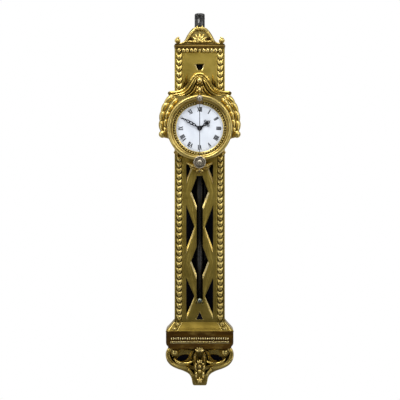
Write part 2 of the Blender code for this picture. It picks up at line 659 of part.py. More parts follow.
def build_pendulum():
    rings = [(-45.4, 1.0), (-48.0, 1.0), (-48.0, 1.6), (-140.0, 1.6)]
    turned("pallet_arbor", rings, PALLET, "steel", 12)
    anchor = [(0, 5.5), (4, 4.5), (11, 0.5), (16, -4.5), (18.2, -10), (17.6, -13.6), (14.2, -11.4)]
    anchor += [(11.5, -8.4), (6, -4.0), (0, -3.2)]
    loops = [moved(mirrored(anchor), *PALLET), bore(1.6, PALLET)]
    plate("pallets", loops, -71.6, -68.6, "steel")
    rings = [(-133.0, 1.9), (-133.0, 5.0), (-134.0, 9.0), (-137.0, 9.0), (-138.5, 6.0), (-139.5, 4.0)]
    rings += [(-139.5, 1.9)]
    turned("pendulum_hub", rings, PALLET, "gilt", 20, closed=True)
    rings = [(PALLET[1] - 9.2, 1.0), (-129.0, 1.0)]
    turned("pendulum_rod", rings, (0, PENDULUM_Y), "steel", 8, "Z")
    half = 6.5
    rings = [(PENDULUM_Y + half - 2, BOB_R * 0.7), (PENDULUM_Y + 2.5, BOB_R), (PENDULUM_Y - 2.5, BOB_R)]
    rings += [(PENDULUM_Y - half + 1.5, 14.0), (PENDULUM_Y - half + 2.0, 10.0), (PENDULUM_Y - half + 0.5, 8.5)]
    rings += [(PENDULUM_Y - half, 3.0)]
    bob = turned("pendulum_bob", rings, (0, BOB_Z), "pewter", 28)
    rings = [(BOB_Z - 25, 1.25), (BOB_Z + 25, 1.25)]
    combine(bob, turned("bob_bore", rings, (0, PENDULUM_Y), None, 12, "Z", smooth=0.0), "DIFFERENCE")
    rings = [(-120.3, 1.25), (-120.3, 3.4), (-125.0, 3.4), (-125.0, 1.25)]
    turned("rating_nut", rings, (0, PENDULUM_Y), "brass", 12, "Z", closed=True)


def build_motion_work():
    cannon_module = 2 * distance(CENTRE, MINUTE_STUD) / (CANNON_TEETH + MINUTE_TEETH)
    cannon = toothed(CANNON_TEETH, cannon_module, LEAF_TOOTH, 0.0)
    pipe = [(angle, 2.8) for angle, _ in cannon]
    inside = [(angle, 2.2) for angle, _ in cannon]
    rings = [(-91.5, cannon), (-93.5, cannon), (-93.5, pipe), (-106.4, pipe), (-106.4, inside)]
    rings += [(-91.5, inside)]
    turned("cannon_pinion", rings, CENTRE, "steel", len(cannon), closed=True)

    phase = meshing_phase(0.0, CANNON_TEETH, CENTRE, MINUTE_TEETH, MINUTE_STUD)
    minute = wheel("minute_wheel", MINUTE_STUD, MINUTE_TEETH, cannon_module, phase, -93.3, -91.7, 1.5)
    hour_module = 2 * distance(CENTRE, MINUTE_STUD) / (MINUTE_LEAVES + HOUR_TEETH)
    leaves = toothed(MINUTE_LEAVES, hour_module, LEAF_TOOTH, 0.0)
    loops = [placed(leaves, MINUTE_STUD), bore(1.5, MINUTE_STUD)]
    combine(minute, plate("minute_leaves", loops, -96.6, -93.0, None), "UNION")

    phase = meshing_phase(0.0, MINUTE_LEAVES, MINUTE_STUD, HOUR_TEETH, CENTRE)
    hour = wheel("hour_wheel", CENTRE, HOUR_TEETH, hour_module, phase, -96.2, -94.6, 3.0)
    rings = [(-95.0, 3.16), (-95.0, 4.0), (-103.6, 4.0), (-103.6, 3.16)]
    combine(hour, turned("hour_pipe", rings, CENTRE, None, 20, closed=True, smooth=0.0), "UNION")

    rings = [(DIAL_BACK, 4.8), (DIAL_BACK, 71.0), (-99.4, 71.0), (-99.9, 45.0), (-100.2, 4.8)]
    turned("dial", rings, CENTRE, "enamel", 56, closed=True)

    right = [(0, 41.2), (1.0, 37), (2.2, 33), (1.2, 31), (4.2, 27.5), (5.6, 24), (4.0, 20.5), (1.4, 18)]
    right += [(1.3, 6.4), (4.6, 4.2), (6.3, 0), (4.6, -4.2), (0, -6.3)]
    window = [(0, 28.2), (2.6, 24.2), (0, 20.6), (-2.6, 24.2)]
    loops = [mirrored(right), bore(4.0, CENTRE), window]
    loops = [moved(loop, turn=-HOUR_ANGLE) for loop in loops]
    plate("hour_hand", loops, -103.3, -102.2, "black")
    right = [(0, 60.3), (0.9, 54), (1.8, 49), (1.0, 47), (3.0, 43), (4.0, 39), (2.8, 35), (1.1, 32)]
    right += [(1.1, 5.4), (3.8, 3.6), (5.2, 0), (3.8, -3.6), (0, -5.2)]
    window = [(0, 43.4), (1.9, 39.2), (0, 35.2), (-1.9, 39.2)]
    loops = [mirrored(right), bore(2.8, CENTRE), window]
    loops = [moved(loop, turn=-MINUTE_ANGLE) for loop in loops]
    plate("minute_hand", loops, -106.3, -105.2, "black")
    rings = [(-106.6, 2.15), (-106.6, 3.8), (-107.6, 2.8), (-107.6, 2.15)]
    turned("hand_collet", rings, CENTRE, "brass", 16, closed=True)


# --- Joint axes --------------------------------------------------------------------------

def group(name, pivot, names):
    """An empty on the joint's axis, with the moving pieces as its children."""
    empty = bpy.data.objects.new(name, None)
    empty.location = Vector(pivot) * MM
    empty.empty_display_size = 0.02
    PARTS.objects.link(empty)
    bpy.context.view_layer.update()
    for child in names:
        obj = bpy.data.objects[child]
        obj.parent = empty
        obj.matrix_parent_inverse = empty.matrix_world.inverted()


def build_groups():
    group("weight_rod_slide", (0, ROD_Y, 0), ["weight_tube", "tube_cap", "rack", "ball_knob"])
    group("great_arbor_axis", (GREAT[0], -60, GREAT[1]), ["great_arbor", "ratchet_wheel"])
    group("great_wheel_axis", (GREAT[0], -56, GREAT[1]), ["great_wheel", "click_spring"])
    group("click_axis", (GREAT[0] - 9.0, -60, GREAT[1] + 18.5), ["click"])
    group("centre_axis", (0, -70, 0), ["centre_arbor", "centre_wheel"])
    group("third_axis", (THIRD[0], -70, THIRD[1]), ["third_arbor", "third_wheel"])
    group("escape_axis", (ESCAPE[0], -70, ESCAPE[1]), ["escape_arbor", "escape_wheel"])
    group("pendulum_axis", (0, -90, PALLET[1]), ["pallet_arbor", "pallets", "pendulum_hub", "pendulum_rod"])
    group("bob_slide", (0, PENDULUM_Y, BOB_Z), ["pendulum_bob"])
    group("nut_axis", (0, PENDULUM_Y, -122), ["rating_nut"])
    group("minute_axis", (0, -100, 0), ["cannon_pinion", "minute_hand", "hand_collet"])
    group("minute_wheel_axis", (MINUTE_STUD[0], -94, MINUTE_STUD[1]), ["minute_wheel"])
    group("hour_axis", (0, -100, 0), ["hour_wheel", "hour_hand"])


clear_scene()
PARTS = new_collection("pierced_giltwood_wall_clock")
CUTTERS = new_collection("cutters")
build_case()
build_rod()
build_plates()
build_train()
build_pendulum()
build_motion_work()
build_groups()
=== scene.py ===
"""Looks of the pierced giltwood wall clock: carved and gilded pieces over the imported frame.

Shapes are drawn in millimetres as (x, out, z), where out is the distance from the wall.
"""

import math

import bmesh
import bpy
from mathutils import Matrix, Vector
from mathutils.geometry import tessellate_polygon


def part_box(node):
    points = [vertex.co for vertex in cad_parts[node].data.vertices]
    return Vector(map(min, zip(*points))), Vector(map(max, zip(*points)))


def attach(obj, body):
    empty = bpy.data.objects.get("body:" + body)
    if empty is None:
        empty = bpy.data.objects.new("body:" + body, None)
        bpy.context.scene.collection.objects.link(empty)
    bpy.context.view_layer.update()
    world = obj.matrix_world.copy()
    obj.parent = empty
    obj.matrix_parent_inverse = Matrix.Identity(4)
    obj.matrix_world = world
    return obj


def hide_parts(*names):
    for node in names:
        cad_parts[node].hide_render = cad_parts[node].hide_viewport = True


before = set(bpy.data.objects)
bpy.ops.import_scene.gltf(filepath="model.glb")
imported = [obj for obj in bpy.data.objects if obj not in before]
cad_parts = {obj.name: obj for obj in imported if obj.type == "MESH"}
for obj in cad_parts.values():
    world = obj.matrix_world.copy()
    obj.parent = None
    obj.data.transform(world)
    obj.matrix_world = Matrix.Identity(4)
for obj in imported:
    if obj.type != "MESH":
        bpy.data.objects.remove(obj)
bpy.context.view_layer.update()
MM = 0.001
TAU = 2 * math.pi


# --- Places taken from the frame ---

class Extent:
    """A node's box in millimetres, as x0..x1, out0..out1 (from the wall) and z0..z1."""

    def __init__(self, node):
        low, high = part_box(node)
        self.x0, self.x1 = low[0] / MM, high[0] / MM
        self.out0, self.out1 = -high[1] / MM, -low[1] / MM
        self.z0, self.z1 = low[2] / MM, high[2] / MM
        self.axis = (self.out0 + self.out1) / 2
        self.middle = (self.z0 + self.z1) / 2


PANEL = Extent("front_panel")
CORNICE = Extent("cornice")
CREST = Extent("crest")
PLINTH = Extent("plinth")
BRACKET = Extent("bracket")
DROP = Extent("bracket_drop")
DIAL = Extent("dial")
TUBE = Extent("weight_tube")
CAP = Extent("tube_cap")
KNOB = Extent("ball_knob")
BOB = Extent("pendulum_bob")
HUB = Extent("pendulum_hub")
NUT = Extent("rating_nut")
SWAG = Extent("swag_right")
BOW = Extent("bow_ornament")
FACE = PANEL.out1
HALF = CORNICE.x1 - 1.5


# --- Materials ---

# UMBER is laid in the gilding's hollows and at its foot: part grime, part painted shade.
UMBER = (0.022, 0.010, 0.004)
BOLE = (0.16, 0.055, 0.022)
# Surfaces further from the wall than this take the near-black painted shade of the case's inside.
INNER_FACE = -0.0092
CAST, BRUSHED, DRAWN = (1, 1, 1), (1, 6, 1), (1, 1, 0.05)


class Shader:
    """A node tree with short calls for the nodes these materials use."""

    def __init__(self, name):
        self.material = bpy.data.materials.new(name)
        self.material.use_nodes = True
        self.tree = self.material.node_tree
        self.surface = self.tree.nodes["Principled BSDF"]
        self.place = self.tree.nodes.new("ShaderNodeTexCoord").outputs["Object"]

    def feed(self, value, socket):
        """Links a node's output to a socket, or sets the socket to a plain number or colour."""
        if isinstance(value, bpy.types.NodeSocket):
            self.tree.links.new(value, socket)
        else:
            socket.default_value = (*value, 1) if isinstance(value, tuple) else value

    def node(self, kind, **inputs):
        node = self.tree.nodes.new("ShaderNode" + kind)
        for name, value in inputs.items():
            self.feed(value, node.inputs[name])
        return node

    def stretched(self, x, y, z):
        node = self.node("Mapping", Vector=self.place)
        node.inputs["Scale"].default_value = (x, y, z)
        return node.outputs["Vector"]

    def along(self, axis):
        """The object's own coordinate on one axis, in metres."""
        return self.node("SeparateXYZ", Vector=self.place).outputs[axis]

    def noise(self, scale, detail, rough=0.55, vector=None):
        node = self.node("TexNoise", Vector=vector or self.place, Scale=scale, Detail=detail, Roughness=rough)
        return node.outputs["Fac"]

    def cracks(self, scale, vector=None):
        node = self.node("TexVoronoi", Vector=vector or self.place, Scale=scale)
        node.feature = "DISTANCE_TO_EDGE"
        return node.outputs["Distance"]

    def hollow(self, reach):
        """1 on open surfaces, falling to 0 in hollows."""
        node = self.node("AmbientOcclusion", Distance=reach)
        node.samples = 8
        return node.outputs["AO"]

    def ramp(self, factor, *stops):
        """A factor turned into the tones between stops, each a place from 0 to 1 and a number or colour."""
        node = self.node("ValToRGB", Fac=factor)
        ramp = node.color_ramp
        while len(ramp.elements) < len(stops):
            ramp.elements.new(0.5)
        for element, (at, colour) in zip(ramp.elements, stops):
            element.position = at
            value = colour if isinstance(colour, tuple) else (colour, colour, colour)
            element.color = (*value, 1)
        return node.outputs["Color"]

    def mix(self, factor, a, b):
        node = self.node("Mix")
        node.data_type = "RGBA"
        for value, socket in zip((factor, a, b), [socket for socket in node.inputs if socket.enabled]):
            self.feed(value, socket)
        return [socket for socket in node.outputs if socket.enabled][0]

    def math(self, operation, a, b):
        node = self.node("Math")
        node.operation = operation
        for value, socket in zip((a, b), node.inputs):
            self.feed(value, socket)
        return node.outputs["Value"]

    def dirt_and_shade(self, tone, colour, reach, most=0.9, clear=0.85):
        """The tone with a colour laid in its hollows, up to a share of most and none where they are open:
        tarnish and grime in small hollows, painted shade where the reach is wide.
        """
        return self.mix(self.ramp(self.hollow(reach), (0.3, most), (clear, 0)), tone, colour)

    def bump(self, height, strength, distance):
        node = self.node("Bump", Strength=strength, Distance=distance, Height=height)
        self.feed(node.outputs["Normal"], self.surface.inputs["Normal"])

    def finish(self, colour, roughness, **others):
        """Feeds the surface and gives the material; others names its sockets with _ for a space."""
        for name, value in {"Base Color": colour, "Roughness": roughness, **others}.items():
            self.feed(value, self.surface.inputs[name.replace("_", " ")])
        return self.material


def gilding(name, low, middle, high, reach, rough, wear, relief=0.12, foot_shade=0, cavity=UMBER):
    """Water gilding: toned gold that thins to red bole where it is rubbed, and darkens in hollows with grime
    and painted shade.

    reach is how wide a hollow darkens, in metres; foot_shade is how much painted shade darkens the foot of
    the clock.
    """
    s = Shader(name)
    cloud = s.noise(22, 5, 0.55)
    tone = s.ramp(cloud, (0.3, low), (0.5, middle), (0.72, high))
    laps = s.noise(1, 2, 0.5, s.stretched(9, 9, 75))
    tone = s.mix(s.ramp(laps, (0.4, 0), (0.62, 0.3)), tone, high)
    rubbed = s.ramp(s.noise(60, 7, 0.72), (0.62, 0), (0.72, 0.7))
    tone = s.mix(s.math("MULTIPLY", rubbed, wear), tone, BOLE)
    # Painted shade: the gilding darkens towards the foot of the clock, where less light reaches.
    if foot_shade:
        level = s.math("ADD", s.along("Z"), 0.7)
        tone = s.mix(s.ramp(level, (0.12, foot_shade), (0.60, foot_shade * 0.3), (0.78, 0)), tone, cavity)
    # Grime and painted shade: hollows and the gaps between carved parts darken towards the cavity colour.
    grime_and_shade = s.ramp(s.hollow(reach), (0.25, 1), (0.78, 0))
    tone = s.mix(grime_and_shade, tone, cavity)
    speck = s.noise(420, 3, 0.6)
    polish = s.ramp(speck, (0.3, rough - 0.04), (0.7, rough + 0.05))
    gloss = s.math("ADD", polish, s.math("MULTIPLY", grime_and_shade, 0.3))
    crackle = s.ramp(s.cracks(95), (0, 0), (0.035, 1))
    height = s.math("ADD", s.math("MULTIPLY", crackle, 0.25), s.math("MULTIPLY", speck, 0.5))
    s.bump(height, relief, 0.0006)
    return s.finish(tone, gloss, Metallic=1)


def plain_metal(name, dark, light, rough, stretch, metallic, tarnish_and_shade=None, reach=0.004):
    """Metal whose marks run along its stretch, with tarnish in its hollows; a wide reach lays painted shade
    there as well.
    """
    s = Shader(name)
    brushed = s.noise(180, 4, 0.6, s.stretched(*stretch))
    tone = s.ramp(brushed, (0.3, dark), (0.7, light))
    cloud = s.noise(70, 6, 0.65)
    gloss = s.ramp(cloud, (0.35, rough - 0.07), (0.7, rough + 0.12))
    if tarnish_and_shade:
        tone = s.mix(s.ramp(cloud, (0.5, 0), (0.75, 0.6)), tone, tarnish_and_shade)
        tone = s.dirt_and_shade(tone, tarnish_and_shade, reach)
    s.bump(brushed, 0.12, 0.0003)
    return s.finish(tone, gloss, Metallic=metallic)


def case_wood(name, dark, light):
    """Oiled wood with an upright grain, darker in its corners."""
    s = Shader(name)
    grain = s.noise(16, 8, 0.6, s.stretched(9, 9, 0.7))
    tone = s.ramp(grain, (0.3, dark), (0.7, light))
    tone = s.dirt_and_shade(tone, tuple(value * 0.3 for value in dark), 0.02, most=0.8, clear=0.9)
    s.bump(grain, 0.25, 0.0008)
    return s.finish(tone, s.ramp(grain, (0.3, 0.65), (0.7, 0.5)))


def bole_finish(name, gold_from):
    """Dark red-brown bole with worn gilding over it; gold_from sets how little of it is left."""
    s = Shader(name)
    grain = s.noise(11, 8, 0.62, s.stretched(1.2, 6, 7))
    tone = s.ramp(grain, (0.28, (0.022, 0.009, 0.001)), (0.5, (0.060, 0.028, 0.003)),
                  (0.75, (0.125, 0.068, 0.006)))
    patches = s.noise(14, 6, 0.6, s.stretched(1, 3, 2))
    gold = s.ramp(patches, (gold_from, 0), (gold_from + 0.16, 0.75))
    tone = s.mix(gold, tone, (0.20, 0.13, 0.028))
    tone = s.dirt_and_shade(tone, (0.012, 0.006, 0.002), 0.006)
    s.bump(grain, 0.15, 0.0006)
    return s.finish(tone, s.ramp(grain, (0.3, 0.46), (0.7, 0.34)), Metallic=0.7, Specular_IOR_Level=0.15)


def shaded_inside(name):
    """The back board: nearly black inside the case as painted shade, oiled oak on the wall side."""
    s = Shader(name)
    grain = s.noise(16, 8, 0.6, s.stretched(9, 9, 0.7))
    wood = s.ramp(grain, (0.3, (0.10, 0.055, 0.024)), (0.7, (0.23, 0.14, 0.07)))
    dark = s.ramp(grain, (0.3, (0.002, 0.002, 0.008)), (0.7, (0.005, 0.005, 0.018)))
    inward = s.math("LESS_THAN", s.along("Y"), INNER_FACE)
    tone = s.mix(inward, wood, dark)
    s.bump(grain, 0.3, 0.0008)
    return s.finish(tone, 0.75, Specular_IOR_Level=0.12)


def enamel_glaze(name):
    """Fired enamel: cold white, faintly clouded, with a few upright hairlines, partly cracks and partly
    painted shade lines.
    """
    s = Shader(name)
    cloud = s.noise(22, 4, 0.6)
    tone = s.ramp(cloud, (0.3, (0.48, 0.515, 0.575)), (0.7, (0.56, 0.595, 0.65)))
    # Upright dark hairlines: partly cracks, partly painted shade lines.
    hairline_and_shade_lines = s.ramp(s.cracks(9, s.stretched(2.4, 1, 0.28)), (0, 1), (0.012, 0))
    tone = s.mix(s.math("MULTIPLY", hairline_and_shade_lines, 0.35), tone, (0.45, 0.45, 0.46))
    s.bump(s.noise(60, 2), 0.04, 0.0004)
    return s.finish(tone, s.ramp(cloud, (0.3, 0.12), (0.7, 0.22)), Coat_Weight=0.3, Coat_Roughness=0.06)


GILT = gilding("gilding", (0.52, 0.37, 0.10), (0.69, 0.52, 0.17), (0.86, 0.70, 0.30),
               reach=0.0045, rough=0.27, wear=0.3, relief=0.06)
# Burnished gilding made pale: partly the burnish, partly a painted highlight on chamfers, beads and fillets.
BURNISHED_HIGHLIGHT = gilding("gilding_burnished_highlight", (0.80, 0.64, 0.26), (0.92, 0.78, 0.40), (0.97, 0.87, 0.52),
                    reach=0.002, rough=0.30, wear=0.2)
# The flat gilding darkens towards the foot of the clock: painted shade.
GILT_FLAT = gilding("gilding_flat", (0.37, 0.265, 0.046), (0.52, 0.38, 0.075), (0.66, 0.50, 0.112),
                    reach=0.014, rough=0.38, wear=0.45, foot_shade=0.34)
GILT_SOFT = gilding("gilding_soft", (0.40, 0.29, 0.075), (0.54, 0.405, 0.12), (0.68, 0.54, 0.19),
                    reach=0.0035, rough=0.31, wear=0.2, relief=0.05)
# Matt gilding kept dark for grounds behind carving (leaf row, flare, bracket tongue, bead channel): partly
# its matt tone, partly painted shade.
GILT_DULL_SHADED = gilding("gilding_dull_shaded", (0.12, 0.082, 0.013), (0.185, 0.13, 0.023), (0.26, 0.185, 0.038),
                    reach=0.010, rough=0.48, wear=0.5)
GILT_DARK = gilding("gilding_dark", (0.36, 0.245, 0.050), (0.56, 0.405, 0.095), (0.84, 0.655, 0.21),
                    reach=0.014, rough=0.26, wear=0.4, cavity=(0.012, 0.005, 0.002))
# Near-black gilding for sunk grounds and hollows: painted shade between carved parts.
SHADE_GROUND = gilding("sunk_ground_painted_shade", (0.026, 0.013, 0.005), (0.05, 0.026, 0.008), (0.11, 0.062, 0.018),
                 reach=0.01, rough=0.45, wear=0.5, cavity=(0.010, 0.005, 0.003))
BOLE_WOOD = bole_finish("bole", 0.52)
BOLE_GOLD = bole_finish("bole_under_gold", 0.34)
OAK = case_wood("oiled_oak", (0.07, 0.038, 0.018), (0.20, 0.12, 0.06))
INSIDE = shaded_inside("back_board_shaded_inside")
# The iron's wide reach paints shade on the tube where it runs inside the case.
IRON = plain_metal("blackened_iron", (0.030, 0.031, 0.032), (0.072, 0.070, 0.066), 0.3,
                   DRAWN, 0.9, (0.004, 0.004, 0.005), 0.06)
STEEL = plain_metal("polished_steel", (0.30, 0.30, 0.31), (0.52, 0.52, 0.52), 0.26,
                    BRUSHED, 1, (0.14, 0.11, 0.08))
RACK_STEEL = plain_metal("oily_steel", (0.02, 0.02, 0.022), (0.06, 0.06, 0.06), 0.4,
                         BRUSHED, 0.9, (0.02, 0.014, 0.01))
BRASS = plain_metal("lacquered_brass", (0.60, 0.40, 0.13), (0.85, 0.63, 0.27), 0.26,
                    (1, 5, 1), 1, (0.30, 0.17, 0.05))
PEWTER = plain_metal("tarnished_silvering", (0.31, 0.27, 0.20), (0.60, 0.54, 0.43), 0.36,
                     CAST, 1, (0.05, 0.04, 0.03), 0.003)
ENAMEL = enamel_glaze("enamel")
INK = plain_metal("fired_black", (0.004, 0.004, 0.006), (0.010, 0.010, 0.013), 0.35, CAST, 0)
BLACK_STEEL = plain_metal("blacked_steel", (0.006, 0.007, 0.010), (0.02, 0.022, 0.028), 0.32, CAST, 0.6)
GREEN_STEEL = plain_metal("oiled_steel", (0.10, 0.13, 0.11), (0.30, 0.33, 0.30), 0.2,
                          BRUSHED, 1, (0.03, 0.05, 0.04))


# --- Carving tools ---

WELD = 1e-7
NEARLY_STRAIGHT = 0.05


def lerp(a, b, t):
    return a + (b - a) * t


def ease(t):
    return t * t * (3 - 2 * t)


class Carving:
    """Closed shells that together make one piece."""

    def __init__(self):
        self.points = []
        self.faces = []

    def loft(self, rows, ring=False):
        """A skin through closed rows of equal length, capped, or a ring whose last row joins the first."""
        base, count = len(self.points), len(rows[0])
        for row in rows:
            self.points.extend(row)
        spans = len(rows) if ring else len(rows) - 1
        for r in range(spans):
            here, there = base + r * count, base + (r + 1) % len(rows) * count
            for k in range(count):
                after = (k + 1) % count
                self.faces.append((here + k, here + after, there + after, there + k))
        if not ring:
            self.faces.append(tuple(base + k for k in range(count)))
            self.faces.append(tuple(base + (len(rows) - 1) * count + k for k in range(count)))

    def sweep(self, path, half, section, out, swell=None):
        """Runs a section along a path of (x, z). half and out may change along it.

        A section is a list of (side -1..1, height in mm), closed along its back.
        """
        rows, last = [], len(path) - 1
        for k, (x, z) in enumerate(path):
            before, after = path[max(k - 1, 0)], path[min(k + 1, last)]
            dx, dz = after[0] - before[0], after[1] - before[1]
            size = math.hypot(dx, dz) or 1
            nx, nz = dz / size, -dx / size
            t = k / last
            w = half(t) if callable(half) else half
            base = out(t) if callable(out) else out
            rise = swell(t) if swell else 1
            rows.append([(x + nx * side * w, base + height * rise, z + nz * side * w)
                         for side, height in section])
        self.loft(rows)

    def leaf(self, x, z, angle, length, width, out, rise, lobes=0, bend=0, curl=0, *, depth,
             steps=11, vein=0.8):
        """A carved leaf that starts at x, z and runs out at an angle.

        angle and bend are degrees; rise is its fullness and depth its thickness behind; curl lifts the
        tip; lobes cut its edge; vein is its rib's height.
        """
        rows, columns = [], 8
        heading = math.radians(angle)
        for step in range(steps + 1):
            t = step / steps
            body = math.sin(math.pi * min(1, t ** 0.75 * 0.97 + 0.03)) ** 0.72
            notch = 1 - 0.22 * abs(math.sin(lobes * math.pi * t)) if lobes else 1
            half = max(0.15, width / 2 * body * notch)
            nx, nz = math.sin(heading), -math.cos(heading)
            lift = out + curl * t * t
            top, bottom = [], []
            for c in range(columns + 1):
                s = 2 * c / columns - 1
                dome = rise * body * (1 - s * s) ** 0.6
                rib = vein * math.exp(-(s / 0.16) ** 2) * body
                groove = 0
                if lobes:
                    wave = 0.5 + 0.5 * math.cos(TAU * lobes * (t - 0.18 * abs(s)))
                    groove = 0.5 * rise * abs(s) * wave * body
                under = lift - depth * (0.4 + 0.6 * body)
                top.append((x + nx * s * half, lift + dome + rib - groove, z + nz * s * half))
                bottom.append((x + nx * s * half * 0.96, under, z + nz * s * half * 0.96))
            rows.append(top + bottom[::-1])
            heading += math.radians(bend) / steps
            x += math.cos(heading) * length / steps
            z += math.sin(heading) * length / steps
        self.loft(rows)

    def keep_within(self, front, back=-math.inf, top=math.inf):
        """Planes the piece down to a front plane, a back plane and a top plane."""
        self.points = [(x, min(max(out, back), front), min(z, top)) for x, out, z in self.points]

    def mirror(self):
        """Adds the left half of a piece whose right half is drawn."""
        count = len(self.points)
        self.points += [(-x, out, z) for x, out, z in self.points]
        self.faces += [tuple(count + corner for corner in face) for face in self.faces]

    def ball(self, x, out, z, radius, flat, sides=12, rings=7):
        """A round bead, flattened outwards by flat."""
        turns = [math.pi * r / rings for r in range(1, rings)]
        profile = [(out + radius * flat * math.cos(turn), radius * math.sin(turn)) for turn in turns]
        self.disc(x, z, profile, sides)

    def disc(self, x, z, profile, sides, closed=False):
        """A shape turned about an axis that points out of the wall; profile is (out, radius)."""
        rows = [[(px, out, pz) for px, pz in circle(r, sides, x, z)] for out, r in profile]
        self.loft(rows, closed)

    def turn_upright(self, axis, profile, sides, closed=False):
        """A shape turned about an upright axis at that distance from the wall; profile is (z, radius)."""
        rows = [[(x, out, z) for x, out in circle(r, sides, 0, axis)] for z, r in profile]
        self.loft(rows, closed)

    def slab(self, loops, back, front, chamfer=0, hole_chamfers=None):
        """A board with holes. Front edges are chamfered; each hole may have a size for each edge.

        Returns the number of faces before and after the chamfers, so they can be finished apart.
        """
        chamfers = [chamfer] + list(hole_chamfers or [chamfer] * (len(loops) - 1))
        rings = []
        for number, (loop, edge) in enumerate(zip(loops, chamfers)):
            sizes = edge if isinstance(edge, list) else [edge] * len(loop)
            wide = offset_loop(loop, sizes, inward=(number == 0))
            rings.append(len(self.points))
            for shape, out in ((loop, back), (loop, front - max(sizes)), (wide, front)):
                self.points.extend((x, out, z) for x, z in shape)
        for level in range(2):
            if level:
                first = len(self.faces)
            for loop, start in zip(loops, rings):
                count = len(loop)
                low, high = start + level * count, start + (level + 1) * count
                for k in range(count):
                    after = (k + 1) % count
                    self.faces.append((low + k, low + after, high + after, high + k))
        last = len(self.faces)
        for level in (0, 2):
            index, flat = [], []
            for loop, start in zip(loops, rings):
                here = range(start + level * len(loop), start + (level + 1) * len(loop))
                flat.append([Vector((self.points[i][0], self.points[i][2], 0)) for i in here])
                index += here
            for triangle in tessellate_polygon(flat):
                self.faces.append(tuple(index[corner] for corner in triangle))
        return first, last

    def bar(self, low, high, bevel):
        """A block with softened edges, from (x, out, z) to (x, out, z)."""
        x0, o0, z0 = low
        x1, o1, z1 = high
        rows = []
        for z, inset in ((z0, bevel), (z0 + bevel, 0), (z1 - bevel, 0), (z1, bevel)):
            cut = bevel + inset
            rows.append([(x0 + inset, o0, z), (x1 - inset, o0, z), (x1, o0 + bevel, z), (x1, o1 - cut, z),
                         (x1 - cut, o1 - inset, z), (x0 + cut, o1 - inset, z), (x0, o1 - cut, z),
                         (x0, o0 + bevel, z)])
        self.loft(rows)


def circle(radius, sides, x=0, y=0):
    turns = [TAU * k / sides for k in range(sides)]
    return [(x + radius * math.cos(turn), y + radius * math.sin(turn)) for turn in turns]


def keyhole(radius, half, end, steps):
    """A circle that opens into a slot of this half width, which runs up to z = end."""
    start = math.asin(half / radius)
    turns = [start + (TAU - 2 * start) * k / steps for k in range(steps + 1)]
    return [(-half, end), (half, end)] + [(radius * math.sin(at), radius * math.cos(at)) for at in turns]


def area(loop):
    """The area inside a loop: positive when the loop runs anticlockwise."""
    return sum(a[0] * b[1] - b[0] * a[1] for a, b in zip(loop, loop[1:] + loop[:1])) / 2


def offset_loop(loop, sizes, inward):
    """Moves each edge sideways by its own size: into the loop, or out of it."""
    if not any(sizes):
        return list(loop)
    sign = 1 if (area(loop) > 0) == inward else -1
    lines, count = [], len(loop)
    for k in range(count):
        (x0, z0), (x1, z1) = loop[k], loop[(k + 1) % count]
        dx, dz = x1 - x0, z1 - z0
        size = math.hypot(dx, dz)
        nx, nz = -dz / size * sign, dx / size * sign
        lines.append((x0 + nx * sizes[k], z0 + nz * sizes[k], dx / size, dz / size))
    shape = []
    for k in range(count):
        ax, az, adx, adz = lines[k - 1]
        bx, bz, bdx, bdz = lines[k]
        cross = adx * bdz - adz * bdx
        if abs(cross) < NEARLY_STRAIGHT:
            shape.append((bx, bz))
            continue
        t = ((bx - ax) * bdz - (bz - az) * bdx) / cross
        shape.append((ax + adx * t, az + adz * t))
    return shape


def spline(a, b, c, d, t):
    """The Catmull-Rom curve from b to c."""
    square, cube = 2 * a - 5 * b + 4 * c - d, 3 * b - a - 3 * c + d
    return 0.5 * (2 * b + (c - a) * t + square * t * t + cube * t ** 3)


def curve_through(points, steps):
    """A smooth path through points."""
    path, padded = [], [points[0]] + points + [points[-1]]
    for four in zip(padded, padded[1:], padded[2:], padded[3:]):
        for step in range(steps):
            path.append(tuple(spline(*values, step / steps) for values in zip(*four)))
    return path + [points[-1]]


def mirrored(right):
    """A whole loop from its right half."""
    return right + [(-x, z) for x, z in reversed(right) if x > 0.001]


def flipped(points):
    return [(-x, z) for x, z in points]


ROUND = [(-1, 0), (-0.92, 0.38), (-0.7, 0.71), (-0.38, 0.92), (0, 1), (0.38, 0.92), (0.7, 0.71), (0.92, 0.38),
         (1, 0), (0.6, -0.6), (-0.6, -0.6)]


def raised(out, profile):
    """A profile of (height, radius) moved out from the wall."""
    return [(out + height, radius) for height, radius in profile]


def rounded(height, back=1.5):
    """A half-round section of a given height."""
    return [(side, h * height if h >= 0 else -back) for side, h in ROUND]


def placed(name, data):
    """A new object in the scene."""
    obj = bpy.data.objects.new(name, data)
    bpy.context.scene.collection.objects.link(obj)
    return obj


def object_from(name, carving):
    """A mesh object in metres, with its faces turned outwards."""
    mesh = bpy.data.meshes.new(name)
    mesh.from_pydata([(x * MM, -out * MM, z * MM) for x, out, z in carving.points], [], carving.faces)
    work = bmesh.new()
    work.from_mesh(mesh)
    bmesh.ops.remove_doubles(work, verts=work.verts, dist=WELD)
    bmesh.ops.recalc_face_normals(work, faces=work.faces)
    work.to_mesh(mesh)
    work.free()
    return placed(name, mesh)


def add_piece(name, carving, material, body="case", replaces=(), smooth=42):
    """Makes a carving a piece that rides on a body; edges sharper than smooth degrees stay sharp."""
    obj = object_from(name, carving)
    obj.data.shade_smooth()
    obj.data.set_sharp_from_angle(angle=math.radians(smooth))
    obj.data.materials.append(material)
    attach(obj, body)
    if replaces:
        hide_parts(*replaces)
    return obj


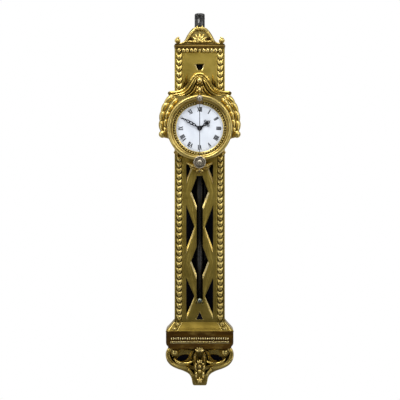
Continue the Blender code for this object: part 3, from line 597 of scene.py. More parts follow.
def cut_with(obj, carving):
    """Cuts a carving's shape out of a piece, leaving a plain mesh."""
    cutter = object_from("cutter", carving)
    step = obj.modifiers.new("cut", "BOOLEAN")
    step.object = cutter
    step.solver = "EXACT"
    graph = bpy.context.evaluated_depsgraph_get()
    result = bpy.data.meshes.new_from_object(obj.evaluated_get(graph))
    obj.modifiers.clear()
    uncut, obj.data = obj.data, result
    bpy.data.meshes.remove(uncut)
    bpy.data.objects.remove(cutter)


# --- Pierced panel ---

PERIOD = 208.5
DIAMOND = -186.6
APEX = -85
SLOT_HALF = 9
SLOT_TOP, SLOT_FOOT = -140, -508
FLARE_TOP = -568.5


def pierced_panel():
    """The front board: a slot with diamonds in it, triangles between the ribbons, and bright chamfers in a
    paler gilding that paints their highlight.
    """
    c = Carving()
    board = mirrored([(0, PANEL.z1), (HALF, PANEL.z1), (HALF, FLARE_TOP), (PANEL.x1, PANEL.z0)])
    slot = [(SLOT_HALF, SLOT_TOP)]
    for k in range(2):
        middle = DIAMOND - k * PERIOD
        slot += [(SLOT_HALF, middle + 42), (25, middle), (SLOT_HALF, middle - 42)]
    for k in range(9):
        at = math.pi / 16 * k
        slot.append((SLOT_HALF * math.cos(at), SLOT_FOOT - SLOT_HALF * math.sin(at)))
    slot = mirrored(slot)
    wedge, notch = mirrored([(11.4, 196.5), (5.6, 178.9)]), mirrored([(0, -547), (10.5, -570)])
    chamfers = [edge_sizes(slot, steep=0.8, upper=1.4, lower=5.2), [3.6, 0.5, 3.6, 0.5], [1, 0.6, 1]]
    gaps = [[(23.6, -106), (40, -106), (40, -149)]]
    for row, reach in ((1, 63), (2, 54)):
        middle = APEX - row * PERIOD
        gaps.append([(16, middle), (40, middle + reach), (40, middle - reach)])
    sides = [loop for gap in gaps for loop in (gap, flipped(gap))]
    chamfers += [edge_sizes(loop, steep=0.6, upper=1.2, lower=5) for loop in sides]
    dial_opening = keyhole(66.5, 20, 93, 64)
    loops = [board, slot, wedge, notch] + sides + [dial_opening]
    first, last = c.slab(loops, PANEL.out0, FACE, 1.2, chamfers + [0.4])
    obj = add_piece("pierced_panel", c, GILT_FLAT, replaces=["front_panel"], smooth=25)
    obj.data.materials.append(BURNISHED_HIGHLIGHT)
    for polygon in obj.data.polygons[first:last]:
        polygon.material_index = 1


def edge_sizes(loop, steep, upper, lower):
    """A chamfer for each edge of a hole: wide where it slopes and faces up, narrow where upright."""
    sizes = []
    sign = 1 if area(loop) > 0 else -1
    for (x0, z0), (x1, z1) in zip(loop, loop[1:] + loop[:1]):
        slope = abs(x1 - x0) / (math.hypot(x1 - x0, z1 - z0) or 1)
        if slope < 0.12:
            sizes.append(steep)
        else:
            sizes.append(lower if (x1 - x0) * sign > 0 else upper)
    return sizes


def panel_mouldings():
    """Raised fillets beside the husk chains, and shallow ribbon ridges between the openings."""
    c = Carving()
    for side in (-1, 1):
        for x, half, height in ((73.4, 1.9, 2.6), (50.6, 1.3, 1.5)):
            for z0, z1 in ((228, 96), (-80, -566.5)):
                path = [(side * x, lerp(z0, z1, k / 10)) for k in range(11)]
                c.sweep(path, half, rounded(height), FACE)
    add_piece("panel_fillets", c, GILT_FLAT)


def ribbon_ridges():
    """The interlaced bands are ridged: wide where they cross the field, narrow between two openings."""
    section = [(-1, 0), (-0.16, 1), (0.16, 1), (1, 0), (0.9, -0.4), (-0.9, -0.4)]
    steps = 8
    c = Carving()
    for side in (-1, 1):
        corners = [(17.2, APEX - 22)]
        corners += [(35 if k % 2 else 12.8, APEX - k * PERIOD / 2) for k in range(1, 5)]
        corners.append((30.5, -564))
        path = []
        for (x0, z0), (x1, z1) in zip(corners, corners[1:]):
            path += [(side * lerp(x0, x1, k / steps), lerp(z0, z1, k / steps)) for k in range(steps)]
        path.append((side * corners[-1][0], corners[-1][1]))

        def width(t):
            return 2.2 + 4.4 * math.sin(math.pi / 2 * t * (len(corners) - 1)) ** 2 * (1 - 0.4 * t)

        c.sweep(path, width, section, FACE - 0.1, swell=lambda t: 0.13 * width(t) + 0.15)
    add_piece("ribbon_ridges", c, GILT_FLAT, smooth=12)


def husk(c, x, z, size, out, tilt=0):
    """One bell-shaped husk: a plump cup whose rim runs up into two horns that clasp the husk above."""
    turn = math.radians(tilt)
    steps, columns = 9, 10
    rows = []
    for step in range(steps + 1):
        t = step / steps
        half = 0.44 * math.sqrt(1 - (0.985 * (1 - t)) ** 2.4)
        swell = math.sin(math.pi * (0.10 + 0.78 * t)) ** 0.6
        top, bottom = [], []
        for column in range(columns + 1):
            s = 2 * column / columns - 1
            across, up = s * half, -0.5 + 0.72 * t + 0.46 * t * t * abs(s) ** 2.4
            px = x + size * (across * math.cos(turn) - up * math.sin(turn))
            pz = z + size * (across * math.sin(turn) + up * math.cos(turn))
            dome = 0.27 * size * swell * (1 - 0.80 * s * s) ** 0.5
            top.append((px, out + dome, pz))
            bottom.append((px, out - 1.2, pz))
        rows.append(top + bottom[::-1])
    c.loft(rows)


def husk_chains():
    """Four hanging chains of husks, each on a sunk ground whose dark tone is painted shade."""
    grounds = Carving()
    pitch = 17.6
    for name in ("left", "right"):
        for part, ground_top, top, count in (("upper", 228, 227.2, 7), ("lower", -82, -79, 28)):
            c = Carving()
            node = "husk_%s_%s" % (part, name)
            extent = Extent(node)
            x = (extent.x0 + extent.x1) / 2
            for k in range(count):
                husk(c, x, top - (k + 0.5) * pitch, pitch, FACE + 1)
            add_piece("husks_%s_%s" % (part, name), c, GILT_SOFT, replaces=[node])
            foot = top - count * pitch + 1
            grounds.bar((x - 7.6, FACE - 0.6, foot), (x + 7.6, FACE + 0.5, ground_top), 0.2)
    add_piece("husk_grounds", grounds, SHADE_GROUND, smooth=20)


def corner_curls():
    """Small curled leaves that close the chains under the bezel."""
    c = Carving()
    c.disc(71.5, -69, raised(FACE, [(-0.5, 6.2), (2.6, 6.4), (4.6, 5), (3.6, 3.4), (5.2, 1.8)]), 20)
    c.leaf(70, -70, 150, 24, 9, FACE + 1.6, rise=3.6, bend=-40, depth=2)
    c.leaf(70, -72, -118, 15, 8, FACE + 1.2, rise=3, bend=30, depth=2)
    c.mirror()
    add_piece("corner_curls", c, GILT)


# --- Top ---

def leaf_row():
    """A running row of plump curled leaves under the cornice."""
    c = Carving()
    band = Extent("top_leaf_band")
    leaves = 5
    c.bar((band.x0, FACE + 0.1, band.z1 - 1.6), (band.x1, FACE + 2.6, band.z1), 0.6)
    pitch = band.x1 / (leaves + 0.5)
    for k in range(leaves):
        x = pitch * (k + 1)
        lean = 62 if k % 2 else 124
        c.leaf(x - 5.6 * math.cos(math.radians(lean)), band.middle - 6.4, lean, 16, 13, FACE + 0.8, 6,
               bend=(lean - 90) * -1.4, curl=0.6, depth=1, steps=10, vein=0)
        c.ball(x + pitch / 2, FACE + 1.4, band.middle + (3.4 if k % 2 else -2.6), 2.1, 0.9, 10, 6)
    c.mirror()
    c.leaf(0, band.z1 - 1.2, -90, 13, 10.4, FACE + 1.2, 5.6, depth=1, vein=0)
    c.keep_within(band.out1 - 0.1)
    add_piece("top_leaf_row", c, GILT, replaces=["top_leaf_band"])
    ground = Carving()
    ground.bar((band.x0 - 4, FACE - 0.4, band.z0 + 1), (band.x1 + 4, FACE + 0.5, band.z1 + 0.2), 0.2)
    add_piece("leaf_row_ground", ground, GILT_DULL_SHADED, smooth=20)


def cornice_moulding():
    """A moulded board: its edge profile runs round three sides, and the tube and rack pass through it."""
    c = Carving()
    z0, z1, half, front = CORNICE.z0, CORNICE.z1, CORNICE.x1, CORNICE.out1
    rows = []
    for z, inset in ((0, 5), (1.6, 4.2), (2.2, 2.6), (3.6, 0.8), (5.6, 0), (7.6, 0.8), (8.6, 2.4),
                     (9.2, 3.4), (10, 3.4), (10.8, 2), (12, 2)):
        z = lerp(z0, z1, z / 12)
        x, out = half - inset, front - inset
        rows.append([(-x, CORNICE.out0, z), (-x, out - 1.5, z), (-x + 1.5, out, z), (x - 1.5, out, z),
                     (x, out - 1.5, z), (x, CORNICE.out0, z)])
    c.loft(rows)
    obj = add_piece("cornice_moulding", c, BOLE_GOLD, replaces=["cornice"])
    hole = Carving()
    loop = keyhole(TUBE.x1 + 0.75, 4.2, 21, 48)
    hole.loft([[(x, TUBE.axis + across, z) for across, x in loop] for z in (z0 - 5, z1 + 5)])
    cut_with(obj, hole)


def crest_carving():
    """The bell-shaped gable: a raised edge, comma-shaped ears, and a wide shell between two hollows."""
    c = Carving()
    ground = CREST.out1 - 9.5
    gable = [(0, 309.5), (13, 308.6), (21.5, 305), (28.5, 297.5), (35, 288.5), (40, 280), (44, 271.5),
             (48.5, 265.4), (55, 261.6), (62, 259.4), (62, 257)]
    edge = [(-1, 303.4), (10, 302.6), (17.4, 299), (24.2, 291.8), (30.2, 283.4), (35.2, 275),
            (40.4, 267), (46.6, 261.8), (54, 259.1), (60, 258.4)]
    c.sweep(curve_through(edge, 6), lambda t: 6 - 3 * t, rounded(6.4, 4), ground - 0.4)
    ear = [(-5, 8.2), (2.4, 8.6), (4.8, 7.6), (5.2, 6.4), (4.4, 5.6), (6, 4.6), (7.6, 2.8), (8, 0.8)]
    c.disc(66.2, 267.2, raised(ground, ear), 32)
    c.leaf(73, 263, 98, 21, 8.6, ground + 1, 5.4, bend=52, curl=1, depth=6, steps=10, vein=0)
    c.leaf(16, 263.2, 10, 30, 7, ground + 0.8, 4.4, bend=-8, depth=2, vein=0.3)
    c.leaf(5.4, 297, 80, 15.5, 10.4, ground + 4, 5, curl=1.6, depth=5, steps=9, vein=0.2)
    c.mirror()
    c.slab([mirrored(gable)], CREST.out0, ground, 0.8)
    for k in range(-3, 4):
        c.leaf(0, 262, 90 - 27 * k, 31 - 1.6 * abs(k), 12.4, ground + 1.6 - 0.2 * abs(k), 6.4, curl=1.2,
               depth=3, steps=10, vein=0)
    c.ball(0, ground + 4, 266, 7.6, 0.66, 20, 11)
    c.bar((-58, CREST.out0, 256.9), (58, ground + 3, 259), 0.8)
    c.keep_within(CREST.out1 - 0.1)
    add_piece("crest_carving", c, GILT_SOFT, replaces=["crest"])
    # Dark discs in the crest's two hollows: painted shade.
    hollows = Carving()
    for side in (-1, 1):
        hollows.disc(side * 27.5, 272, raised(ground, [(-1, 6.4), (0.5, 6.2), (0.7, 5)]), 20)
    add_piece("crest_hollows", hollows, SHADE_GROUND)


# --- Foot ---

def plinth_block():
    """The gilt flare and the dark moulded base below it."""
    flare = [(PLINTH.z1, 77.8, 60.4), (-579.5, 80.6, 61.6), (-583.5, 84, 63.4), (-588, 88, 65.8),
             (-592.5, 92.2, 68.5), (-597, 96.6, 72.2), (-600.6, 99.8, 76), (-602, 100.6, 77)]
    base = [(-602.2, 99.6, 78.2), (-603.2, 101.3, 79.8), (-605.6, 101.3, 79.8), (-606.8, 100.2, 78.8),
            (-608, 100.6, 79.2), (-636, 100.6, 79.2), (-641.5, 100, 78.6), (-646, 97.6, 77),
            (-650, 94.6, 74.8), (-655.5, 93.6, 74)]
    for name, levels, edge, material, slot, nodes in (
            ("plinth_flare", flare, 1.2, GILT_DULL_SHADED, "gilt_wood", ["plinth"]),
            ("plinth_base", base, 5, BOLE_WOOD, "bole_wood", [])):
        c = Carving()
        c.loft([[(-half, 0, z), (-half, front - edge, z), (-half + edge, front, z), (half - edge, front, z),
                 (half, front - edge, z), (half, 0, z)] for z, half, front in levels])
        add_piece(name, c, material, replaces=nodes, smooth=30)
    c = Carving()
    for t in (0.28, 0.82):
        husk(c, lerp(63, 79, t), lerp(-577, -601, t), 14.5, lerp(61.6, 74, t ** 1.2) + 1, tilt=32)
    for start, end, half in ((52.5, 66, 1.3), (74.5, 93, 1.9)):
        path = [(lerp(start, end, k / 6), lerp(-577, -601.4, k / 6)) for k in range(7)]
        c.sweep(path, half, rounded(2.2), lambda t: lerp(60.4, 74.4, t ** 1.2))
    c.mirror()
    add_piece("flare_husks", c, GILT_SOFT)


def plinth_rows():
    """A row of small pointed leaves over a row of beads, on the base's front."""
    c = Carving()
    band = Extent("plinth_band")
    ground = band.out0 - 1.2
    leaves, beads = 13, 20
    for k in range(leaves):
        x = lerp(3.3, 84, k / (leaves - 1))
        c.leaf(x, -620.5, -90, 7.6, 4.7, ground + 0.4, 2.4, depth=1, steps=6, vein=0)
    for k in range(beads):
        c.ball(lerp(2.2, 85.6, k / (beads - 1)), ground + 1.2, -633.6, 2.2, 0.95, 10, 6)
    c.mirror()
    add_piece("plinth_rows", c, BURNISHED_HIGHLIGHT, replaces=["plinth_band"])
    c = Carving()
    c.bar((-88, ground - 1, -638.4), (88, ground + 1.6, -636.2), 0.7)
    add_piece("plinth_fillet", c, BURNISHED_HIGHLIGHT)


def bracket_scrolls():
    """Two C-scrolls that curl into bosses under the plinth and meet in a tapered foot.

    A plain board, cut a little shy of their outline, closes the back; its near-black front is painted shade
    seen through the holes.
    """
    c = Carving()
    back, ground = BRACKET.out0, BRACKET.out1 - 16
    outline = [(84, -655.8), (92, -659.5), (99, -665), (103, -675), (102.4, -689), (97.5, -702),
               (86.5, -714), (69, -723), (50, -729.5), (33.5, -738.5), (26.2, -749), (23.8, -758),
               (22.6, -765)]
    outline = curve_through(outline, 4) + [(21.4, -767.6), (17, -769.8), (0, -769.9)]
    hole = [(31, -682), (42, -680), (54, -682), (64, -687), (71, -694), (68, -699.5), (56, -701),
            (44, -697.5), (35, -690)]
    arm = [(13, -722), (25, -718.5), (38, -717), (53, -715.5), (68, -711.5), (82, -703.5), (91.6, -691.5),
           (95.4, -678), (93.6, -667), (86.5, -659.4)]
    section = [(-1, 0), (-0.96, 7), (-0.86, 11.5), (-0.68, 13.6), (-0.48, 12.6), (-0.34, 9), (-0.1, 7.6),
               (0.25, 7.8), (0.6, 6.6), (0.86, 3.8), (1, 0), (0.8, -6), (-0.8, -6)]
    c.sweep(curve_through(arm, 7), lambda t: 9.6 - 3.6 * ease(t), section, ground)
    crescent = [(17, -694.5), (26, -700), (38, -704.4), (50, -705.6), (62, -702.6), (72, -696),
                (78.5, -687)]
    c.sweep(curve_through(crescent, 7), lambda t: 1 + 5.6 * math.sin(math.pi * t) ** 0.8,
            rounded(8, 6), ground + 7.4)
    foot = [(36, -722), (26, -730), (20.6, -740), (18.4, -751), (17, -762)]
    c.sweep(curve_through(foot, 6), lambda t: 3.4 + 1 * math.sin(math.pi * t), rounded(7, 5),
            ground + 8)
    crease = [(41.5, -713.5), (33, -719.5), (25.5, -727.5), (20, -737)]
    c.sweep(curve_through(crease, 6), 1.5, rounded(4, 6), ground + 11)
    c.leaf(13, -659, -56, 38, 15, ground + 6, 6, 3, bend=-22, curl=2, depth=6)
    c.leaf(60, -660.5, 184, 34, 8, ground + 4, 3.6, 2, bend=10, depth=4)
    c.mirror()
    c.slab([mirrored(outline), hole, flipped(hole)], back + 12, ground, 3, [2, 2])
    toe = [(14, -738), (25, -738), (23.4, -748), (22.4, -758), (21.4, -765.6), (19.6, -768.4),
           (16.4, -769.8), (0, -769.9)]
    c.slab([mirrored(toe)], ground - 2, BRACKET.out1 - 0.3, 1.4)
    c.keep_within(BRACKET.out1 + 6)
    add_piece("bracket_scrolls", c, GILT_DARK, replaces=["bracket"])
    eye = [(-4, 14.6), (8, 15.2), (13, 14.4), (15, 12.8), (13.8, 11.2), (15, 10.4), (18.6, 8),
           (20.8, 5), (21.4, 1.6)]
    c = Carving()
    c.disc(75, -669, raised(ground, eye), 40)
    c.mirror()
    add_piece("bracket_eyes", c, GILT_SOFT)
    shy = [(x * 0.985, min(z, -656.2) * 0.9995) for x, z in outline]
    c = Carving()
    c.slab([mirrored(shy)], back, back + 12.2)
    add_piece("bracket_back", c, INSIDE, smooth=20)


def bracket_shell():
    """The leafy tongue down the middle of the bracket: crown, flower, boss and rosette."""
    c = Carving()
    ground = DROP.out0
    c.leaf(11, -666, -72, 34, 10.5, ground + 2.6, 5.4, 2, bend=-26, depth=6, vein=0.5)
    c.leaf(13, -706, -80, 20, 8.4, ground + 1.6, 4.2, bend=-40, depth=6, vein=0.3)
    c.leaf(10, -728, -80, 22, 9, ground + 0.6, 4.2, bend=-20, depth=6, vein=0.3)
    c.leaf(3, -703, 62, 12.5, 7, ground + 6.4, 4, bend=20, depth=5, steps=7, vein=0)
    c.leaf(7, -706.5, 22, 9.6, 6.4, ground + 5.4, 3.6, bend=40, depth=5, steps=7, vein=0)
    c.mirror()
    body = [(0, -664), (12, -665), (18, -676), (21.5, -690), (20, -702), (18, -714), (16.5, -728),
            (16.5, -742), (15.5, -755), (12, -762.5), (0, -763.5)]
    stem = mirrored([(4, -669.5), (7.4, -676), (7.4, -685.5), (3, -692)])
    tongue = Carving()
    tongue.slab([mirrored(body), stem], ground - 12, ground + 1.6, 2.4)
    add_piece("bracket_tongue", tongue, GILT_DULL_SHADED, smooth=20)
    boss = [(0, 8.6), (6.4, 9), (8.8, 8), (8.8, 6.6), (7.4, 5.8), (9, 5.2), (11.8, 3.4), (12.6, 1)]
    c.disc(0, -711, raised(ground, boss), 28)
    c.leaf(0, -702, 90, 12, 7.6, ground + 7.8, 4.4, depth=5, steps=7, vein=0)
    c.leaf(0, -720, -90, 14, 13, ground + 3.4, 5.2, depth=4, vein=0.3)
    for k in range(5):
        c.leaf(0, -753, 90 + 72 * k, 10, 8.4, ground + 4.6, 4.6, curl=1.4, depth=4, steps=7, vein=0)
    c.ball(0, ground + 8.4, -753, 3.4, 0.9)
    c.keep_within(DROP.out1 - 0.2)
    for k in range(-2, 3):
        c.leaf(0, -665, 90 - 32 * k, 17 - 0.6 * abs(k), 9, ground + 16, 5, curl=8.5, depth=10,
               steps=10, vein=0)
    add_piece("bracket_shell", c, GILT, replaces=["bracket_drop"])


# --- Head ---

def drapery():
    """Drapery over the head: folds that part round the knot and end in open rolls, and two sprigs."""
    c = Carving()
    folds = [
        (5, 9.4, [(-1, 166.6), (10, 164.2), (18.5, 157.4), (25.5, 148), (31.2, 138.2), (37.6, 128),
                    (46, 119.8), (57.5, 113.6), (72, 110.2), (90, 109)]),
        (4, 8.4, [(-1, 159.2), (8.4, 157), (15.5, 150.8), (21.2, 142.2), (26.6, 132.4), (33, 122.6),
                    (41.5, 114.4), (53.5, 107.8), (68, 103.8), (88, 102)]),
        (3.6, 9.6, [(-1, 153.4), (7, 151.2), (12.8, 145.4), (17.4, 136.4), (21.6, 127), (28, 117),
                    (37, 108.6), (50, 101.8), (66, 98.6), (85, 97)]),
        (3.4, 7.4, [(10.6, 132), (14, 123.5), (19.4, 114.6), (27.6, 106), (38.4, 99.2), (51, 95),
                    (62, 93.4)]),
    ]
    for half, height, path in folds:
        c.sweep(curve_through(path, 7), lambda t: half * (1 + 0.3 * t), rounded(height, 1), FACE + 1.2,
                swell=lambda t: 1 + 0.2 * math.sin(math.pi * t))
    for x, z, radius in ((90, 107.6, 5.6), (88, 98.6, 4.8)):
        roll = [(0.6, radius), (9, radius), (11.4, radius - 1.2), (8, radius - 2.4), (8, radius - 3.4),
                (10.4, radius - 4)]
        c.disc(x, z, raised(FACE, roll), 24)
    c.leaf(41, 130, 84, 38, 8.4, FACE + 0.8, 5, lobes=3, bend=22, depth=1)
    c.leaf(46, 126.5, 66, 19, 6.4, FACE + 0.8, 3.6, lobes=2, bend=50, depth=1)
    c.mirror()
    c.keep_within(FACE + 11.8)
    add_piece("drapery_folds", c, GILT_DARK, replaces=["drapery_arch"])


def shell():
    """The knot that holds the drapery: a boss among leaves, over a hanging leaf, on a flat ground."""
    c = Carving()
    ground = [(0, 152), (9, 149), (14, 141), (18.5, 129), (27, 116), (38, 107), (36, 101.5), (0, 101.5)]
    c.slab([mirrored(ground)], FACE - 0.5, FACE + 1, 0.2)
    add_piece("arch_recess", c, GILT_FLAT, smooth=20)
    c = Carving()
    c.leaf(6, 133, 60, 14, 7, FACE + 3, 4, bend=54, curl=1.6, depth=3, steps=8, vein=0.3)
    c.leaf(2, 130, -34, 17, 8.6, FACE + 2, 4.8, bend=-50, depth=2, steps=8, vein=0.3)
    c.leaf(5, 121, -66, 18, 7.6, FACE + 1.4, 4.4, bend=30, depth=2, steps=8, vein=0.3)
    c.mirror()
    c.leaf(0, 136, 90, 18, 9.6, FACE + 3, 4, curl=1, depth=3, steps=8, vein=0.3)
    c.ball(0, FACE + 8.4, 144.8, 8.8, 0.8, 24, 14)
    c.leaf(0, 128, -90, 26, 12, FACE + 3.6, 5.6, depth=3, vein=1)
    c.keep_within(Extent("shell_knot").out1 - 0.2)
    add_piece("shell_boss", c, GILT, replaces=["shell_knot"])


def garlands():
    """Laurel hanging from the drapery's ends, in tiers of overlapping leaves that close on a berry."""
    right = Carving()
    low, high = SWAG.out0 + 0.1, SWAG.out1 - 0.2
    bough = [(72, 95), (83, 83), (93, 68), (100.5, 51), (105.5, 33), (107.6, 14), (108.5, -4), (109, -14)]
    right.sweep(curve_through(bough, 7), lambda t: 4.6 + 3 * math.sin(math.pi * t), rounded(6, 0.5),
                low + 0.6)
    outer = [(77, 101, -37), (94, 82, -53), (107, 57, -71), (112.8, 29, -84)]
    inner = [(66, 91, -42), (79, 75, -52), (91.5, 56, -66), (99.5, 32, -79), (103, 9, -88)]
    for column, length, width in ((outer, 42, 18), (inner, 33, 14.5)):
        for x, z, angle in column:
            right.leaf(x, z, angle, length, width, low + 3.4, 8.2, bend=-14, curl=4.6, depth=4.2, steps=14,
                       vein=0.1)
    right.ball(111, low + 8, -16, 11, 0.9, 24, 14)
    for name, side in (("right", 1), ("left", -1)):
        c = Carving()
        c.faces = list(right.faces)
        c.points = [(side * x, out, z) for x, out, z in right.points]
        c.keep_within(high, back=low)
        add_piece("garland_" + name, c, GILT_SOFT, replaces=["swag_" + name])


def bow_spray():
    """Two leaves that cradle the foot of the bezel, and a small bow between them."""
    c = Carving()
    base = BOW.out0 + 1
    c.leaf(9, -113.5, 22, 36, 14, base + 12, 6.5, bend=10, curl=2, depth=12, steps=14)
    c.leaf(7, -117.5, -12, 26, 10, base + 10, 6, bend=50, curl=2, depth=10, steps=12)
    c.leaf(1, -121.5, -8, 13, 7.4, base + 20, 4.4, bend=-50, curl=1, depth=10, steps=9, vein=0.3)
    c.leaf(1.6, -124.5, -66, 10, 5.6, base + 17, 3.6, bend=26, depth=8, steps=8, vein=0.3)
    c.mirror()
    c.ball(0, base + 22, -122.4, 3.8, 0.9, 16, 9)
    c.bar((-10, BOW.out0, -124), (10, base + 12, -99), 2)
    c.keep_within(BOW.out1 - 0.2, top=BOW.z1 - 0.4)
    add_piece("bow_and_spray", c, GILT, replaces=["bow_ornament"])


def bezel_ring():
    """The turned bezel, notched for the pendulum, with a ring of pearls in a dull channel, darkened as
    painted shade, inside it.
    """
    c = Carving()
    inner = [(101, 69.2), (102.4, 69.5), (103.2, 70.2), (103.2, 71.2), (103.8, 71.9), (104.2, 78.8),
             (106, 79.4), (106.8, 80.4), (107, 81.6)]
    cove = [(108.6, 82.4), (111, 83), (114, 83.6), (117, 84.4), (119.6, 85.4)]
    torus = []
    for k in range(15):
        at = math.radians(lerp(150, -42, k / 14))
        torus.append((119.4 + 6.5 * math.sin(at), 90 + 5.9 * math.cos(at)))
    back = SWAG.out0 - 0.1
    outer = [(112, 94.6), (110.4, 95.9), (107.6, 95.9), (106.2, 94.6), (105, 92.8), (101.6, 91.6),
             (99.6, 90), (98.8, 88), (back, 88), (back, 80.5), (100.3, 80.5), (100.3, 69.2)]
    profile = inner + cove + torus + outer
    c.disc(0, 0, profile, 144, closed=True)
    obj = add_piece("bezel_ring", c, GILT_SOFT, replaces=["bezel"], smooth=50)
    notch = Carving()
    notch.loft([[(-9, 60, z), (9, 60, z), (9, 150, z), (-9, 150, z)] for z in (60, 91.5)])
    cut_with(obj, notch)
    channel = Carving()
    channel.disc(0, 0, [(103.6, 71.6), (103.6, 79), (104.5, 79), (104.4, 71.6)], 144, closed=True)
    obj = add_piece("bead_channel", channel, GILT_DULL_SHADED)
    cut_with(obj, notch)
    beads = Carving()
    for z, x in circle(75.2, 62):
        if z < 0 or abs(x) > 11.5:
            beads.ball(x, 105.8, z, 2.45, 0.9, 10, 6)
    add_piece("pearl_beads", beads, BURNISHED_HIGHLIGHT, replaces=["pearl_ring"])


NUMERALS = ["XII", "I", "II", "III", "IIII", "V", "VI", "VII", "VIII", "IX", "X", "XI"]


def stroke(c, a, b, width, out, thick):
    """A straight painted line from a to b."""
    dx, dz = b[0] - a[0], b[1] - a[1]
    size = math.hypot(dx, dz)
    nx, nz = -dz / size * width / 2, dx / size * width / 2
    corners = [(x + side * nx, z + side * nz) for (x, z), side in ((a, 1), (b, 1), (b, -1), (a, -1))]
    c.loft([[(x, out, z) for x, z in corners], [(x, out + thick, z) for x, z in corners]])


def numeral_strokes(text, height):
    """Strokes of a Roman numeral about its middle, as (start, end, width)."""
    widths = {"I": 3.5, "V": 7.6, "X": 7.6}
    total = sum(widths[letter] for letter in text)
    thick, thin, serif = 2.9, 1.3, 1.2
    strokes, x = [], -total / 2
    top, foot = height / 2, -height / 2
    for letter in text:
        middle = x + widths[letter] / 2
        if letter == "I":
            strokes.append(((middle, top), (middle, foot), thick))
            feet = [(middle, z, 1.7) for z in (top, foot)]
        elif letter == "V":
            strokes.append(((middle - 2.5, top), (middle, foot), thick))
            strokes.append(((middle + 2.5, top), (middle, foot), thin))
            feet = [(middle - 2.5, top, 1.4), (middle + 2.5, top, 1.3)]
        else:
            strokes.append(((middle - 2.6, top), (middle + 2.6, foot), thick))
            strokes.append(((middle + 2.6, top), (middle - 2.6, foot), thin))
            feet = [(middle + side * 2.6, z, 1.3) for side in (-1, 1) for z in (top, foot)]
        strokes += [((at - half, z), (at + half, z), serif) for at, z, half in feet]
        x += widths[letter]
    return strokes


def dial():
    """A slightly domed enamel dial with its numerals and a minute track between two circles."""
    c = Carving()
    edge, hole, numeral_radius = 71, 4.8, 56

    def height(r):
        return DIAL.out1 - 0.9 * (r / edge) ** 2 - 0.15

    profile = [(DIAL.out0, hole), (DIAL.out0, edge)]
    profile += [(height(r), r) for r in (edge, 68, 62, 52, 40, 28, 16, 8, 5.6)]
    profile += [(DIAL.out1 - 0.6, hole)]
    c.disc(0, 0, profile, 160, closed=True)
    add_piece("dial_enamel", c, ENAMEL, replaces=["dial"], smooth=30)
    ink = Carving()
    for hour, text in enumerate(NUMERALS):
        sin, cos = math.sin(TAU * hour / 12), math.cos(TAU * hour / 12)
        for a, b, width in numeral_strokes(text, 12.6):
            start, end = [((numeral_radius + v) * sin + u * cos, (numeral_radius + v) * cos - u * sin)
                          for u, v in (a, b)]
            stroke(ink, start, end, width, height(numeral_radius + 5) + 0.03, 0.2)
    for minute in range(60):
        sin, cos = math.sin(TAU * minute / 60), math.cos(TAU * minute / 60)
        inner, outer, width = (64.2, 66.6, 1) if minute % 5 == 0 else (64.9, 66.2, 0.4)
        stroke(ink, (inner * sin, inner * cos), (outer * sin, outer * cos), width, height(65.5) + 0.02, 0.12)
    for radius in (64, 67):
        line = [(0, radius - 0.14), (0, radius + 0.14), (0.1, radius + 0.14), (0.1, radius - 0.14)]
        ink.disc(0, 0, raised(height(radius), line), 160, closed=True)
    add_piece("dial_numerals", ink, INK, smooth=30)


# --- Hands, pendulum and weight rod ---

def hand_slab(node, body, right, holes, angle, bore):
    """A flat pierced hand, drawn upright by its right half and turned clockwise by this many degrees."""
    cos, sin = math.cos(math.radians(-angle)), math.sin(math.radians(-angle))
    loops = [[(x * cos - z * sin, x * sin + z * cos) for x, z in loop]
             for loop in [mirrored(right), circle(bore, 20)] + holes]
    extent = Extent(node)
    c = Carving()
    c.slab(loops, extent.out0, extent.out1, 0.22, [0.1] + [0.18] * len(holes))
    add_piece(node + "_pierced", c, BLACK_STEEL, body, [node], smooth=20)


def oval(x, z, rx, rz):
    return [(x + rx * px, z + rz * pz) for px, pz in circle(1, 10)]


def hands():
    """The hour hand has a trefoil, the minute hand three pierced lobes."""
    right = [(0, 40.2), (0.9, 36.6), (1.5, 34.8), (4.2, 34), (5.2, 31.4), (3.8, 29.2), (2.2, 27.6),
             (6.2, 29.2), (10.2, 28.8), (11.8, 25.4), (10.2, 22), (6.2, 21.6), (2.2, 23.2), (3.8, 20.6),
             (5, 18.2), (3.4, 15.4), (1.9, 14.8), (1.8, 13.2), (3.2, 11.6), (3.2, 9.8), (2.4, 8.4),
             (5.4, 5.6), (7.6, 0), (5.4, -5.4), (0, -7.6)]
    holes = [oval(-7.6, 25.4, 2.7, 2.1), oval(7.6, 25.4, 2.7, 2.1), oval(0, 31.6, 2.3, 1.9),
             oval(0, 18.4, 2.2, 2)]
    hand_slab("hour_hand", "hour_work", right, holes, 55, 4.2)
    right = [(0, 60.5), (0.9, 55), (1.2, 49), (2.6, 47.6), (1.6, 45.4), (3.4, 43.4), (4.6, 39.4),
             (3.4, 35.6), (4.7, 31.6), (5, 27.2), (3.6, 23.4), (4.5, 19.8), (4, 16.2), (2.2, 13.8),
             (1.8, 9.8), (2.4, 7.6), (4.8, 5), (6.8, 0), (4.8, -4.8), (0, -6.8)]
    holes = [oval(0, 39.8, 1.9, 2.7), oval(0, 29.4, 2.6, 3.9), oval(0, 19.2, 2, 2.8)]
    hand_slab("minute_hand", "minute_work", right, holes, 301, 2.94)


